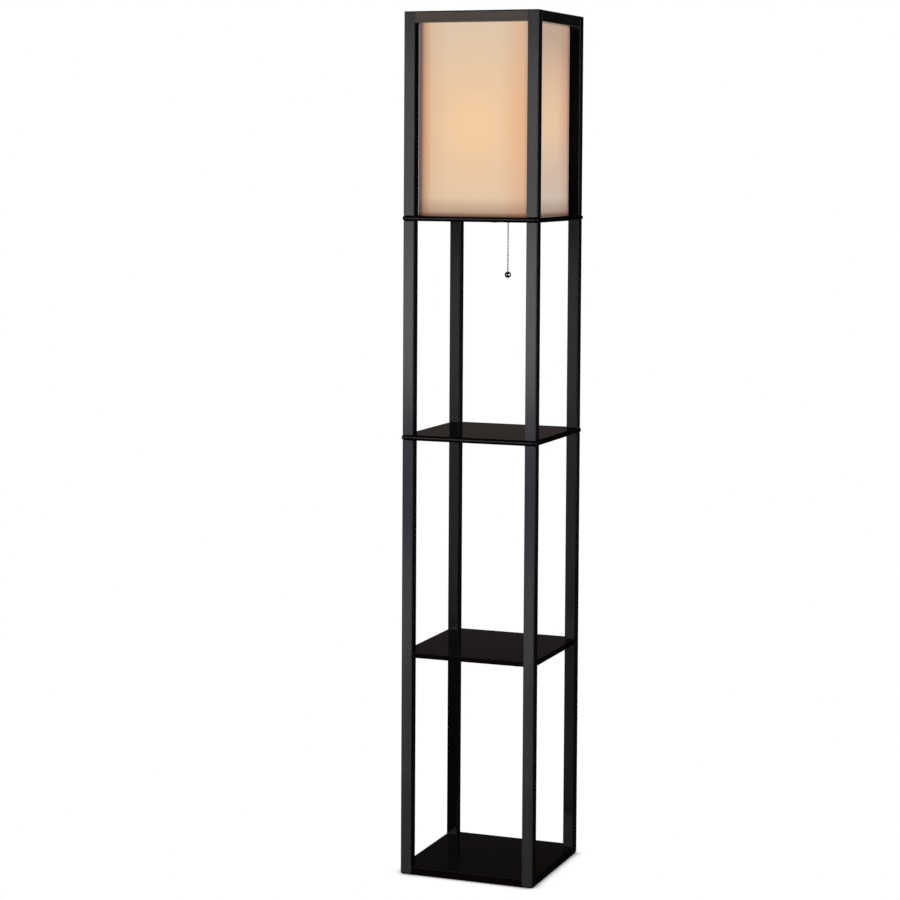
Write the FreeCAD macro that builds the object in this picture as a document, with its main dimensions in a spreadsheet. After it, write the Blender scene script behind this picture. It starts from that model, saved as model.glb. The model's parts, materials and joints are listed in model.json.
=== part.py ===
import FreeCAD, Part

import math
import os
import re

import Sketcher
from FreeCAD import Placement, Rotation, Vector

# A square floor lamp, 1.6 m high: four slim posts, each in four lengths, carry a base board, two
# open shelves and a lamp floor. A translucent square shade hangs from its flange on the top rails,
# over a lampholder whose pull chain comes out through the lamp floor.
# Millimetres. The origin is on the floor under the middle of the base, +Z is up and the front
# faces -Y.

DRIVING_DIMENSIONS = (
    # the posts and the boards
    ("footprint", 260, "side of the square that the posts' outer faces make"),
    ("total_height", 1600, "floor to the top of the lamp posts"),
    ("post_side", 21, "side of a square post"),
    ("arris", 1.5, "rounding of the posts' long edges"),
    ("rail_arris", 1.2, "rounding of the rails' long edges"),
    ("end_bevel", 0.5, "bevel round the ends of the posts, which shows as a fine seam"),
    ("pad_thick", 2, "foot pad, from the floor to the posts"),
    ("pad_radius", 7.5, "foot pad"),
    ("base_thick", 13, "base board"),
    ("shelf_thick", 10, "shelves and lamp floor"),
    ("lower_shelf_z", 408, "underside of the lower shelf"),
    ("upper_shelf_z", 812.5, "underside of the upper shelf"),
    ("lamp_floor_z", 1217, "underside of the lamp floor"),
    ("board_arris", 1, "rounding of the edges of the boards set between the posts"),
    ("nose", 2.5, "how far the upper shelf and the lamp floor stand out past the posts"),
    ("nose_round", 4.6, "bullnose of those two boards"),
    ("board_corner", 6, "corner of those two boards, seen from above"),
    # what joins the wood
    ("joint_radius", 3, "double-ended screw between two post lengths"),
    ("joint_grip", 25, "how far that screw goes into each post"),
    ("base_screw_radius", 2, "screw up through the base board's tongue"),
    ("base_screw_length", 34, "the same, with its head"),
    ("screw_head_height", 2, "countersunk head"),
    ("dowel_radius", 3, "dowel at a rail's end"),
    ("dowel_in_post", 6.5, "how far it goes into the post"),
    ("dowel_in_rail", 17.5, "how far it goes into the rail"),
    ("rail_height", 19, "top rail"),
    # the shade
    ("flange_thick", 2, "flange that the shade hangs from"),
    ("flange_setback", 1.5, "from the rails' outer faces to the flange's edge"),
    ("flange_opening", 205, "side of the open top"),
    ("flange_screw_radius", 1.5, "screw through the flange into a rail"),
    ("flange_screw_length", 14, "the same, with its head"),
    ("shade_side", 217.8, "outside of the shade, cloth to cloth"),
    ("cloth_thick", 0.8, "laminated cloth of a shade panel"),
    ("stick", 5.5, "square stick of the shade's inner frame"),
    # the lampholder on its stem, with heights above the stem
    ("stem_height", 54.9, "stem, from the lamp floor to the lampholder"),
    ("stem_radius", 6.5, "outside of the stem"),
    ("stem_foot", 17, "radius of the stem's foot"),
    ("stem_foot_thick", 1.6, "rim of that foot"),
    ("nipple_radius", 5, "threaded tube that holds the lampholder down"),
    ("nipple_bore", 3.5, "radius of its bore"),
    ("nipple_top", 5.5, "its upper end"),
    ("nipple_drop", 2, "how far it comes out under the lamp floor"),
    ("recess_radius", 11, "recess in the lamp floor's underside for the washer and locknut"),
    ("recess_depth", 4, "the same"),
    ("washer_radius", 10, "washer in that recess"),
    ("washer_thick", 1.2, "the same"),
    ("nut_flats", 14, "locknut across its flats"),
    ("nut_thick", 4, "locknut"),
    ("inlet_bore", 2.6, "radius of the insulating bush in the nipple's lower end"),
    ("inlet_flange", 5.6, "radius of that bush's flange"),
    ("cap_radius", 18, "outside of the lampholder's cap"),
    ("cap_wall", 1.6, "wall of the cap"),
    ("cap_height", 24, "cap, from the stem to its rim"),
    ("ledge_height", 6, "ledge in the cap that carries the switch block"),
    ("ledge_width", 0.8, "the same"),
    ("cap_floor", 2, "bottom of the cap"),
    ("boss_radius", 13.6, "boss of the switch block, which centres the thread shell"),
    ("boss_top", 30, "top of that boss"),
    ("arm_axis_x", 8, "pin of the pull arm, from the lampholder's axis"),
    ("arm_slot", 6.8, "width of the slot that the arm moves in"),
    ("pin_radius", 1, "pin of the pull arm"),
    ("pin_length", 25, "the same"),
    ("pin_play", 0.05, "running clearance of the arm on its pin"),
    ("shell_radius", 18.6, "outside of the lampholder's shell"),
    ("shell_wall", 1.8, "the same"),
    ("shell_top", 70, "mouth of the shell"),
    ("shell_skirt", 3, "how far the shell reaches down over the cap"),
    ("liner_wall", 0.9, "insulating liner in the shell"),
    ("thread_wall", 0.5, "brass thread shell"),
    ("thread_top", 60, "its upper edge"),
    ("contact_top", 32, "where the centre contact meets the bulb"),
    # the bulb, with heights above the stem
    ("bulb_cap_radius", 13.2, "screw cap of the bulb"),
    ("bulb_cap_top", 63, "its upper edge"),
    ("bulb_cap_foot", 39, "its lower edge"),
    ("thread_pitch", 3.6, "from crest to crest of the rolled thread"),
    ("bulb_neck", 12.6, "radius of the glass where it enters the cap"),
    ("bulb_radius", 30, "the bulb's globe"),
    ("bulb_middle", 107, "centre of the globe"),
    ("bulb_glass", 1, "wall of the glass"),
    # the pull chain
    ("chain_x", 28, "the chain, to the right of the lampholder's axis"),
    ("chain_pitch", 4.3, "from bead to bead"),
    ("bead_radius", 1.6, "bead of the chain"),
    ("neck_radius", 0.45, "wire between two beads"),
    ("bead_play", 0.3, "gap between the swivel bead and the necks beside it"),
    ("swivel_drop", 4, "from the underside of the lamp floor to the swivel bead"),
    ("beads_above", 18, "beads above the swivel bead"),
    ("beads_below", 20, "beads below it"),
    ("stop_link", 8, "plain wire from the top bead to the stop bead"),
    ("stop_radius", 2, "stop bead, which sits on the pull arm"),
    ("stop_gap", 2.15, "from the arm's top face up to the middle of the stop bead"),
    ("connector_radius", 1.7, "bell that joins the ball to the chain"),
    ("connector_length", 3.4, "the same"),
    ("ball_radius", 6, "ball at the end of the chain"),
    ("bush_bore", 2.6, "radius of the chain's bush in the lamp floor"),
    ("bush_radius", 4.2, "outside of that bush"),
    ("bush_flange", 6.4, "radius of its flanges"),
    ("bush_lip", 1.5, "thickness of its lower flange"),
    # the pull arm, from its pin
    ("arm_length", 26, "pin to tip"),
    ("arm_width", 6.2, "strip of the arm"),
    ("arm_thick", 1, "the same"),
    ("arm_barrel", 2.4, "radius of the barrel round the pin"),
    ("slot_width", 1.6, "slot that the chain's wire hangs in"),
    ("slot_end", 23.2, "outer end of that slot"),
    ("keyhole_x", 14, "round end of the slot, where the stop bead is passed in"),
    ("keyhole_radius", 2.2, "the same"),
    ("spring_wire", 0.25, "radius of the return spring's wire"),
    ("spring_radius", 1.75, "the spring's turns, to the middle of the wire"),
    ("spring_pitch", 0.7, "from turn to turn"),
    ("spring_length", 2.1, "the spring along the pin"),
)

# Places worked out from the driving dimensions.
DERIVED = {
    "post_axis": "(footprint / 2 - post_side / 2)",
    "inner_face": "(footprint / 2 - post_side)",
    "tongue": "(post_side / 2)",
    "rail_length": "(footprint - 2 * post_side)",
    "lamp_floor_top": "(lamp_floor_z + shelf_thick)",
    "holder_z": "(lamp_floor_z + shelf_thick + stem_height)",
    "flange_z": "(total_height - flange_thick)",
    "rail_z": "(total_height - flange_thick - rail_height / 2)",
    "cloth_inside": "(shade_side / 2 - cloth_thick)",
    "shade_height": "(total_height - flange_thick - lamp_floor_z - shelf_thick)",
    "swivel_z": "(lamp_floor_z - swivel_drop)",
    "arm_z": "(lamp_floor_z - swivel_drop + beads_above * chain_pitch + stop_link"
             " - stop_gap - arm_thick / 2)",
    "chain_end": "(lamp_floor_z - swivel_drop - beads_below * chain_pitch - bead_radius)",
    "connector_flat": "sqrt(ball_radius * ball_radius - connector_radius * connector_radius)",
    "arm_height": "(beads_above * chain_pitch + stop_link - swivel_drop - stop_gap"
                  " - arm_thick / 2 - shelf_thick - stem_height)",
}

CORNERS = (("front_left", -1, -1, 0), ("front_right", 1, -1, 90),
           ("back_right", 1, 1, 180), ("back_left", -1, 1, 270))
SIDES = (("front", 0), ("right", 90), ("back", 180), ("left", 270))

os.makedirs("parts", exist_ok=True)
doc = FreeCAD.newDocument("shelf_floor_lamp")
sizes = doc.addObject("Spreadsheet::Sheet", "Sizes")
for row, (alias, number, meaning) in enumerate(DRIVING_DIMENSIONS, start=1):
    sizes.set(f"A{row}", meaning)
    sizes.set(f"B{row}", str(number))
    sizes.setAlias(f"B{row}", alias)
doc.recompute()

ALIASES = {alias for alias, number, meaning in DRIVING_DIMENSIONS}
WORD = re.compile(r"[a-z][a-z_]*")
nodes = []


# ---------------------------------------------------------------- formulas and sketches

def linked(formula):
    """A formula in which derived places are written out and each cell is named with its sheet."""
    text = WORD.sub(lambda word: DERIVED.get(word.group(), word.group()), str(formula))
    return WORD.sub(lambda word: "Sizes." * (word.group() in ALIASES) + word.group(), text)


def value(formula):
    """The number that a formula gives with the sheet's present values."""
    return float(sizes.evalExpression(linked(formula)))


def bind(thing, member, formula):
    """Ties one size of a document object to the sheet."""
    thing.setExpression(member, linked(formula))


def finish(thing, label):
    """Gives a finished sub-part its name and keeps it for the export."""
    thing.Label = label
    nodes.append(thing)
    return thing


def new_body(separate_solids=False):
    body = doc.addObject("PartDesign::Body", "Body")
    body.AllowCompound = separate_solids
    return body


def put(thing, east=0, north=0, height=0, turn=0):
    """Places a sub-part: formulas for its origin, and degrees of turn about the upright axis."""
    thing.Placement = Placement(Vector(0, 0, 0), Rotation(Vector(0, 0, 1), turn))
    for letter, formula in (("x", east), ("y", north), ("z", height)):
        bind(thing, "Placement.Base." + letter, formula)


def new_sketch(body, plane="XY_Plane", offset=0):
    """A sketch on one of the body's own planes, moved along the plane's normal by a formula."""
    sketch = body.newObject("Sketcher::SketchObject", "Sketch")
    own_plane = next(item for item in body.Origin.OriginFeatures if item.Role == plane)
    sketch.AttachmentSupport = [(own_plane, "")]
    sketch.MapMode = "FlatFace"
    bind(sketch, "AttachmentOffset.Base.z", offset)
    return sketch


def tie_point(sketch, geometry, end, across, along):
    """Holds a point of the sketch at two formulas, measured from the sketch's origin."""
    for kind, axis, formula in (("DistanceX", -2, across), ("DistanceY", -1, along)):
        distance = value(formula)
        if abs(distance) < 1e-9:
            sketch.addConstraint(Sketcher.Constraint("PointOnObject", geometry, end, axis))
            continue
        index = sketch.addConstraint(Sketcher.Constraint(kind, -1, 1, geometry, end, distance))
        bind(sketch, f"Constraints[{index}]", formula)


def draw_polygon(sketch, corners):
    """A closed outline of straight lines through corners given as pairs of formulas."""
    first = sketch.GeometryCount
    points = [Vector(value(across), value(along), 0) for across, along in corners]
    for start, end in zip(points, points[1:] + points[:1]):
        sketch.addGeometry(Part.LineSegment(start, end), False)
    for index, (across, along) in enumerate(corners):
        following = first + (index + 1) % len(corners)
        sketch.addConstraint(Sketcher.Constraint("Coincident", first + index, 2, following, 1))
        tie_point(sketch, first + index, 1, across, along)


def draw_rectangle(sketch, left, bottom, right, top):
    draw_polygon(sketch, ((left, bottom), (right, bottom), (right, top), (left, top)))


def draw_square(sketch, side, across="0", along="0"):
    half = f"({side}) / 2"
    draw_rectangle(sketch, f"{across} - {half}", f"{along} - {half}",
                   f"{across} + {half}", f"{along} + {half}")


def draw_circle(sketch, across, along, radius):
    centre = Vector(value(across), value(along), 0)
    circle = sketch.addGeometry(Part.Circle(centre, Vector(0, 0, 1), value(radius)), False)
    index = sketch.addConstraint(Sketcher.Constraint("Radius", circle, value(radius)))
    bind(sketch, f"Constraints[{index}]", radius)
    tie_point(sketch, circle, 3, across, along)


# ---------------------------------------------------------------- features

def add_pad(body, sketch, length, taper=0, both_ways=False):
    pad = body.newObject("PartDesign::Pad", "Pad")
    pad.Profile = sketch
    bind(pad, "Length", length)
    pad.TaperAngle = taper
    pad.Midplane = both_ways
    doc.recompute()
    return pad


def cut_pocket(body, sketch, depth, along_normal=False, taper=0, both_ways=False):
    """A pocket that runs against the sketch's normal, or along it, and must remove material."""
    before = body.Shape.Volume
    pocket = body.newObject("PartDesign::Pocket", "Pocket")
    pocket.Profile = sketch
    bind(pocket, "Length", depth)
    pocket.Reversed = along_normal
    pocket.TaperAngle = taper
    pocket.Midplane = both_ways
    doc.recompute()
    if body.Shape.Volume >= before:
        raise ValueError("a pocket in " + body.Name + " cuts nothing")
    return pocket


def add_revolution(body, sketch):
    """A full turn about the sketch's own upright axis."""
    revolution = body.newObject("PartDesign::Revolution", "Revolution")
    revolution.Profile = sketch
    revolution.ReferenceAxis = (sketch, ["V_Axis"])
    revolution.Angle = 360
    doc.recompute()
    return revolution


def repeat_round(body, features, count=4):
    """Repeats features about the body's upright axis."""
    pattern = body.newObject("PartDesign::PolarPattern", "PolarPattern")
    pattern.Originals = features
    upright = next(item for item in body.Origin.OriginFeatures if item.Role == "Z_Axis")
    pattern.Axis = (upright, [""])
    pattern.Angle = 360
    pattern.Occurrences = count
    body.Tip = pattern
    doc.recompute()
    return pattern


def dress_edges(body, kind, size, chosen):
    """Rounds or bevels the edges that the test picks by their middle point and direction."""
    base = body.Tip
    names = []
    for number, edge in enumerate(base.Shape.Edges, start=1):
        middle = edge.valueAt((edge.FirstParameter + edge.LastParameter) / 2)
        if chosen(edge, middle):
            names.append(f"Edge{number}")
    dressing = body.newObject("PartDesign::" + kind, kind)
    dressing.Base = (base, names)
    bind(dressing, "Radius" if kind == "Fillet" else "Size", size)
    doc.recompute()


def is_line_along(edge, direction):
    """Whether an edge is straight and runs along a direction."""
    if not isinstance(edge.Curve, Part.Line):
        return False
    return abs(edge.tangentAt(edge.FirstParameter).dot(direction)) > 0.999


UPRIGHT = Vector(0, 0, 1)


# ---------------------------------------------------------------- posts

STAGES = (
    # name, foot, head, board housed in the foot, screw hole in the foot, screw hole in the head
    ("lower", "pad_thick", "lower_shelf_z", "base_thick", None, "joint_grip"),
    ("middle", "lower_shelf_z", "upper_shelf_z", "shelf_thick", "joint_grip + shelf_thick",
     "joint_grip"),
    ("upper", "upper_shelf_z + shelf_thick", "lamp_floor_z", None, "joint_grip", "joint_grip"),
    ("lamp", "lamp_floor_top", "total_height", None, "joint_grip", None),
)


def is_rounded(edge, middle, top, lamp_post):
    """Whether a post's edge is rounded: the long ones, and those round a lamp post's top.

    A lamp post's inner edge stays sharp, so that no light shows between it and the shade.
    """
    if is_line_along(edge, UPRIGHT):
        return not lamp_post or min(middle.x, middle.y) < 0
    return lamp_post and middle.z > top - 0.01


def make_post(corner, stage):
    """One length of a post. Its inner faces look along +X and +Y before it is turned."""
    corner_name, east, north, turn = corner
    stage_name, foot, head, housed_board, foot_hole, head_hole = stage
    length = f"({head}) - ({foot})"
    body = new_body()
    section = new_sketch(body)
    draw_square(section, "post_side")
    add_pad(body, section, length)
    top = value(length)
    lamp_post = stage_name == "lamp"
    dress_edges(body, "Fillet", "arris",
                lambda edge, middle: is_rounded(edge, middle, top, lamp_post))
    dress_edges(body, "Chamfer", "end_bevel", lambda edge, middle: middle.z < 0.01
                or (not lamp_post and middle.z > top - 0.01))
    if housed_board:
        housing = new_sketch(body)
        draw_rectangle(housing, "0", "0", "post_side", "post_side")
        cut_pocket(body, housing, housed_board, along_normal=True)
    if stage_name == "lower":
        pilot = new_sketch(body)
        draw_circle(pilot, "tongue / 2", "tongue / 2", "base_screw_radius")
        cut_pocket(body, pilot, "base_screw_length", along_normal=True)
    if foot_hole:
        hole = new_sketch(body)
        draw_circle(hole, "0", "0", "joint_radius")
        cut_pocket(body, hole, foot_hole, along_normal=True)
    if head_hole:
        hole = new_sketch(body, offset=length)
        draw_circle(hole, "0", "0", "joint_radius")
        cut_pocket(body, hole, head_hole)
    if lamp_post:
        rail_height = f"rail_z - ({foot})"
        hole = new_sketch(body, "YZ_Plane", "post_side / 2")
        draw_circle(hole, "0", rail_height, "dowel_radius")
        cut_pocket(body, hole, "dowel_in_post")
        hole = new_sketch(body, "XZ_Plane", "-post_side / 2")
        draw_circle(hole, "0", rail_height, "dowel_radius")
        cut_pocket(body, hole, "dowel_in_post", along_normal=True)
    put(body, f"{east} * post_axis", f"{north} * post_axis", foot, turn)
    finish(body, f"{corner_name}_{stage_name}_post")


def make_rail(side, turn):
    """A top rail between two lamp posts, bored for its dowels and for the flange's screw."""
    body = new_body()
    section = new_sketch(body, "YZ_Plane")
    draw_rectangle(section, "-post_side / 2", "-rail_height / 2", "post_side / 2", "rail_height / 2")
    add_pad(body, section, "rail_length", both_ways=True)
    dress_edges(body, "Fillet", "rail_arris", lambda edge, middle: is_line_along(edge, Vector(1, 0, 0)))
    for end in (1, -1):
        hole = new_sketch(body, "YZ_Plane", f"{end} * rail_length / 2")
        draw_circle(hole, "0", "0", "dowel_radius")
        cut_pocket(body, hole, "dowel_in_rail", along_normal=end < 0)
    pilot = new_sketch(body, offset="rail_height / 2")
    draw_circle(pilot, "0", "0", "flange_screw_radius")
    cut_pocket(body, pilot, "flange_screw_length - screw_head_height")
    angle = math.radians(turn)
    put(body, f"{round(math.sin(angle))} * post_axis", f"{-round(math.cos(angle))} * post_axis",
        "rail_z", turn)
    finish(body, f"{side}_top_rail")


# ---------------------------------------------------------------- boards

def make_housed_board(label, foot, thickness):
    """A board flush with the posts. Tongues at its corners reach to the middle of their feet."""
    body = new_body()
    plan = new_sketch(body)
    draw_square(plan, "footprint")
    add_pad(body, plan, thickness)
    top = value(thickness)
    dress_edges(body, "Fillet", "board_arris",
                lambda edge, middle: middle.z > top - 0.01 or middle.z < 0.01)
    corner = new_sketch(body)
    inner, tip, outer = "inner_face", "(inner_face + tongue)", "footprint"
    draw_polygon(corner, ((tip, inner), (outer, inner), (outer, outer), (inner, outer),
                          (inner, tip), (tip, tip)))
    features = [cut_pocket(body, corner, thickness, along_normal=True)]
    if label == "base_board":
        screw_place = "(inner_face + tongue / 2)"
        hole = new_sketch(body)
        draw_circle(hole, screw_place, screw_place, "base_screw_radius")
        features.append(cut_pocket(body, hole, thickness, along_normal=True))
        sink = new_sketch(body)
        draw_circle(sink, screw_place, screw_place, "base_screw_radius + screw_head_height")
        features.append(cut_pocket(body, sink, "screw_head_height", along_normal=True, taper=-45))
    else:
        hole = new_sketch(body)
        draw_circle(hole, "post_axis", "post_axis", "joint_radius")
        features.append(cut_pocket(body, hole, thickness, along_normal=True))
    repeat_round(body, features)
    put(body, height=foot)
    finish(body, label)


def make_bullnose_board(label, foot, holes=()):
    """A board clamped between post lengths. It stands out past them with a bullnose edge."""
    body = new_body()
    plan = new_sketch(body)
    draw_square(plan, "footprint + 2 * nose")
    add_pad(body, plan, "shelf_thick")
    dress_edges(body, "Fillet", "board_corner", lambda edge, middle: is_line_along(edge, UPRIGHT))
    top = value("shelf_thick")
    dress_edges(body, "Fillet", "nose_round",
                lambda edge, middle: middle.z > top - 0.01 or middle.z < 0.01)
    for across, along, radius, depth in holes:
        hole = new_sketch(body)
        draw_circle(hole, across, along, radius)
        cut_pocket(body, hole, depth, along_normal=True)
    hole = new_sketch(body)
    draw_circle(hole, "post_axis", "post_axis", "joint_radius")
    repeat_round(body, [cut_pocket(body, hole, "shelf_thick", along_normal=True)])
    put(body, height=foot)
    finish(body, label)


# ---------------------------------------------------------------- joining hardware

def make_foot_pads():
    body = new_body(separate_solids=True)
    plan = new_sketch(body)
    for corner_name, east, north, turn in CORNERS:
        draw_circle(plan, f"{east} * post_axis", f"{north} * post_axis", "pad_radius")
    add_pad(body, plan, "pad_thick")
    put(body)
    finish(body, "foot_pads")


def make_joint_screws():
    """The double-ended screws between the post lengths, four at each of three levels."""
    body = new_body(separate_solids=True)
    for level in ("lower_shelf_z", "upper_shelf_z", "lamp_floor_z"):
        plan = new_sketch(body, offset=f"{level} - joint_grip")
        for corner_name, east, north, turn in CORNERS:
            draw_circle(plan, f"{east} * post_axis", f"{north} * post_axis", "joint_radius")
        add_pad(body, plan, "2 * joint_grip + shelf_thick")
    put(body)
    finish(body, "post_joint_screws")


def make_countersunk_screws(label, places, head_z, points_up, radius, length):
    """Countersunk screws with their heads flush at one height, pointing up or down."""
    body = new_body(separate_solids=True)
    way = 1 if points_up else -1
    head = new_sketch(body, offset=head_z if points_up else f"{head_z} - screw_head_height")
    shank = new_sketch(body, offset=head_z if points_up else f"{head_z} - ({length})")
    for across, along in places:
        wide = f"{radius} + screw_head_height" if points_up else radius
        draw_circle(head, across, along, wide)
        draw_circle(shank, across, along, radius)
    add_pad(body, head, "screw_head_height", taper=-45 * way)
    add_pad(body, shank, length)
    put(body)
    finish(body, label)


def make_rail_dowels():
    """Dowels at both ends of each rail, made for the front rail and repeated round."""
    body = new_body(separate_solids=True)
    pads = []
    for end in (1, -1):
        inner_end = "(inner_face - dowel_in_rail)" if end > 0 else "(-inner_face - dowel_in_post)"
        section = new_sketch(body, "YZ_Plane", inner_end)
        draw_circle(section, "-post_axis", "rail_z", "dowel_radius")
        pads.append(add_pad(body, section, "dowel_in_rail + dowel_in_post"))
    repeat_round(body, pads)
    put(body)
    finish(body, "rail_dowels")


# ---------------------------------------------------------------- shade

def make_flange():
    """The thin flange that lies on the rails, between the posts, and carries the shade."""
    body = new_body()
    plan = new_sketch(body)
    edge, inner = "(footprint / 2 - flange_setback)", "inner_face"
    quarter = ((inner, f"-{inner}"), (edge, f"-{inner}"), (edge, inner))
    turned = [quarter]
    for _ in range(3):
        turned.append(tuple((f"-({along})", across) for across, along in turned[-1]))
    draw_polygon(plan, [corner for side in turned for corner in side])
    draw_square(plan, "flange_opening")
    add_pad(body, plan, "flange_thick")
    sink = new_sketch(body)
    draw_circle(sink, "0", "-post_axis", "flange_screw_radius")
    screw_hole = cut_pocket(body, sink, "flange_thick", along_normal=True, taper=45)
    repeat_round(body, [screw_hole])
    put(body, height="flange_z")
    finish(body, "shade_flange")


def make_shade_frame():
    """Square sticks behind the cloth: four uprights and a run of cross sticks at each end."""
    uprights = new_body(separate_solids=True)
    plan = new_sketch(uprights)
    middle = "(cloth_inside - stick / 2)"
    for corner_name, east, north, turn in CORNERS:
        draw_square(plan, "stick", f"{east} * {middle}", f"{north} * {middle}")
    add_pad(uprights, plan, "shade_height")
    put(uprights, height="lamp_floor_top")
    finish(uprights, "shade_uprights")
    cross_sticks = new_body(separate_solids=True)
    for foot in ("0", "(shade_height - stick)"):
        plan = new_sketch(cross_sticks, offset=foot)
        inner, outer = "(cloth_inside - stick)", "cloth_inside"
        for sign in ("-", ""):
            low, high = (outer, inner) if sign else (inner, outer)
            draw_rectangle(plan, f"-{inner}", f"{sign}{low}", inner, f"{sign}{high}")
            draw_rectangle(plan, f"{sign}{low}", f"-{inner}", f"{sign}{high}", inner)
        add_pad(cross_sticks, plan, "stick")
    put(cross_sticks, height="lamp_floor_top")
    finish(cross_sticks, "shade_cross_sticks")


def make_shade_panel(side, turn):
    """A laminated cloth panel. The front and back ones cover the ends of the other two."""
    across = "shade_side" if turn % 180 == 0 else "2 * cloth_inside"
    body = new_body()
    section = new_sketch(body, "XZ_Plane", "cloth_inside")
    draw_rectangle(section, f"-({across}) / 2", "0", f"({across}) / 2", "shade_height")
    add_pad(body, section, "cloth_thick")
    put(body, height="lamp_floor_top", turn=turn)
    finish(body, f"shade_{side}_panel")


# ---------------------------------------------------------------- lampholder and bulb

def turn_profile(profile):
    """A body turned about the lampholder's axis: radius, and height above the stem."""
    body = new_body()
    section = new_sketch(body, "XZ_Plane")
    draw_polygon(section, profile)
    add_revolution(body, section)
    put(body, height="holder_z")
    return body


def make_turned(label, profile):
    finish(turn_profile(profile), label)


def ring(inner, outer, foot, head):
    """The profile of a plain ring."""
    return (inner, foot), (outer, foot), (outer, head), (inner, head)


def make_nipple_group():
    """The threaded tube that clamps the lampholder to the lamp floor, and what is on it."""
    under = "(-stem_height - shelf_thick)"
    seat = f"({under} + recess_depth)"
    end = f"({under} - nipple_drop)"
    make_turned("lampholder_nipple", ring("nipple_bore", "nipple_radius", end, "nipple_top"))
    make_turned("lampholder_stem", (
        ("nipple_radius", "-stem_height"), ("stem_foot", "-stem_height"),
        ("stem_foot", "-stem_height + stem_foot_thick"),
        ("2 * stem_radius", "-stem_height + 2 * stem_foot_thick"),
        ("stem_radius", "-stem_height + stem_radius"), ("stem_radius", "-stem_foot_thick"),
        ("stem_radius + stem_foot_thick", "0"), ("nipple_radius", "0")))
    make_turned("nipple_washer",
                ring("nipple_radius", "washer_radius", f"{seat} - washer_thick", seat))
    make_turned("cord_inlet_bush", (
        ("inlet_bore", f"{end} - nipple_bore / 2"), ("inlet_flange", f"{end} - nipple_bore / 2"),
        ("inlet_flange", end), ("nipple_bore", end), ("nipple_bore", f"{end} + shelf_thick"),
        ("inlet_bore", f"{end} + shelf_thick")))
    hexagon = doc.addObject("Part::Prism", "Hexagon")
    hexagon.Polygon = 6
    bind(hexagon, "Circumradius", "nut_flats / 2 / cos(30)")
    bind(hexagon, "Height", "nut_thick")
    tapping = doc.addObject("Part::Cylinder", "Tapping")
    bind(tapping, "Radius", "nipple_radius")
    bind(tapping, "Height", "nut_thick")
    nut = doc.addObject("Part::Cut", "Nut")
    nut.Base = hexagon
    nut.Tool = tapping
    put(nut, height="lamp_floor_z + recess_depth - washer_thick - nut_thick")
    finish(nut, "nipple_locknut")


def make_cap():
    """The lampholder's cup, slotted on the right for the pull arm."""
    inside = "(cap_radius - cap_wall)"
    ledge = f"({inside} - ledge_width)"
    body = turn_profile((
        ("nipple_radius", "0"), (inside, "0"), ("cap_radius", "cap_wall"),
        ("cap_radius", "cap_height"), (inside, "cap_height"), (inside, "ledge_height"),
        (ledge, "ledge_height"), (ledge, "cap_floor"), ("boss_radius / 2", "cap_floor"),
        ("boss_radius / 2", "nipple_top"), ("nipple_radius", "nipple_top")))
    slot = new_sketch(body, "YZ_Plane", "cap_radius / 2")
    draw_rectangle(slot, "-arm_slot / 2", "ledge_height", "arm_slot / 2", "arm_height + arm_slot")
    cut_pocket(body, slot, "cap_radius", along_normal=True)
    finish(body, "lampholder_cap")


def make_switch_block():
    """The moulded block in the cap: it holds the arm's pin and centres the thread shell."""
    inside = "(cap_radius - cap_wall)"
    body = turn_profile((
        ("0", "ledge_height"), (inside, "ledge_height"), (inside, "cap_height"),
        ("boss_radius", "cap_height"), ("boss_radius", "boss_top"), ("0", "boss_top")))
    slot = new_sketch(body, "YZ_Plane", "arm_axis_x - 2 * arm_barrel")
    draw_rectangle(slot, "-arm_slot / 2", "0", "arm_slot / 2", "arm_height + arm_slot")
    cut_pocket(body, slot, "cap_radius", along_normal=True)
    pin_hole = new_sketch(body, "XZ_Plane")
    draw_circle(pin_hole, "arm_axis_x", "arm_height", "pin_radius")
    cut_pocket(body, pin_hole, "2 * cap_radius", both_ways=True)
    leg_hole = new_sketch(body, offset="arm_height + arm_slot")
    draw_circle(leg_hole, "arm_axis_x - spring_radius", "-spring_length / 2", "spring_wire")
    cut_pocket(body, leg_hole, "spring_length", along_normal=True)
    finish(body, "switch_block")


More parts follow.
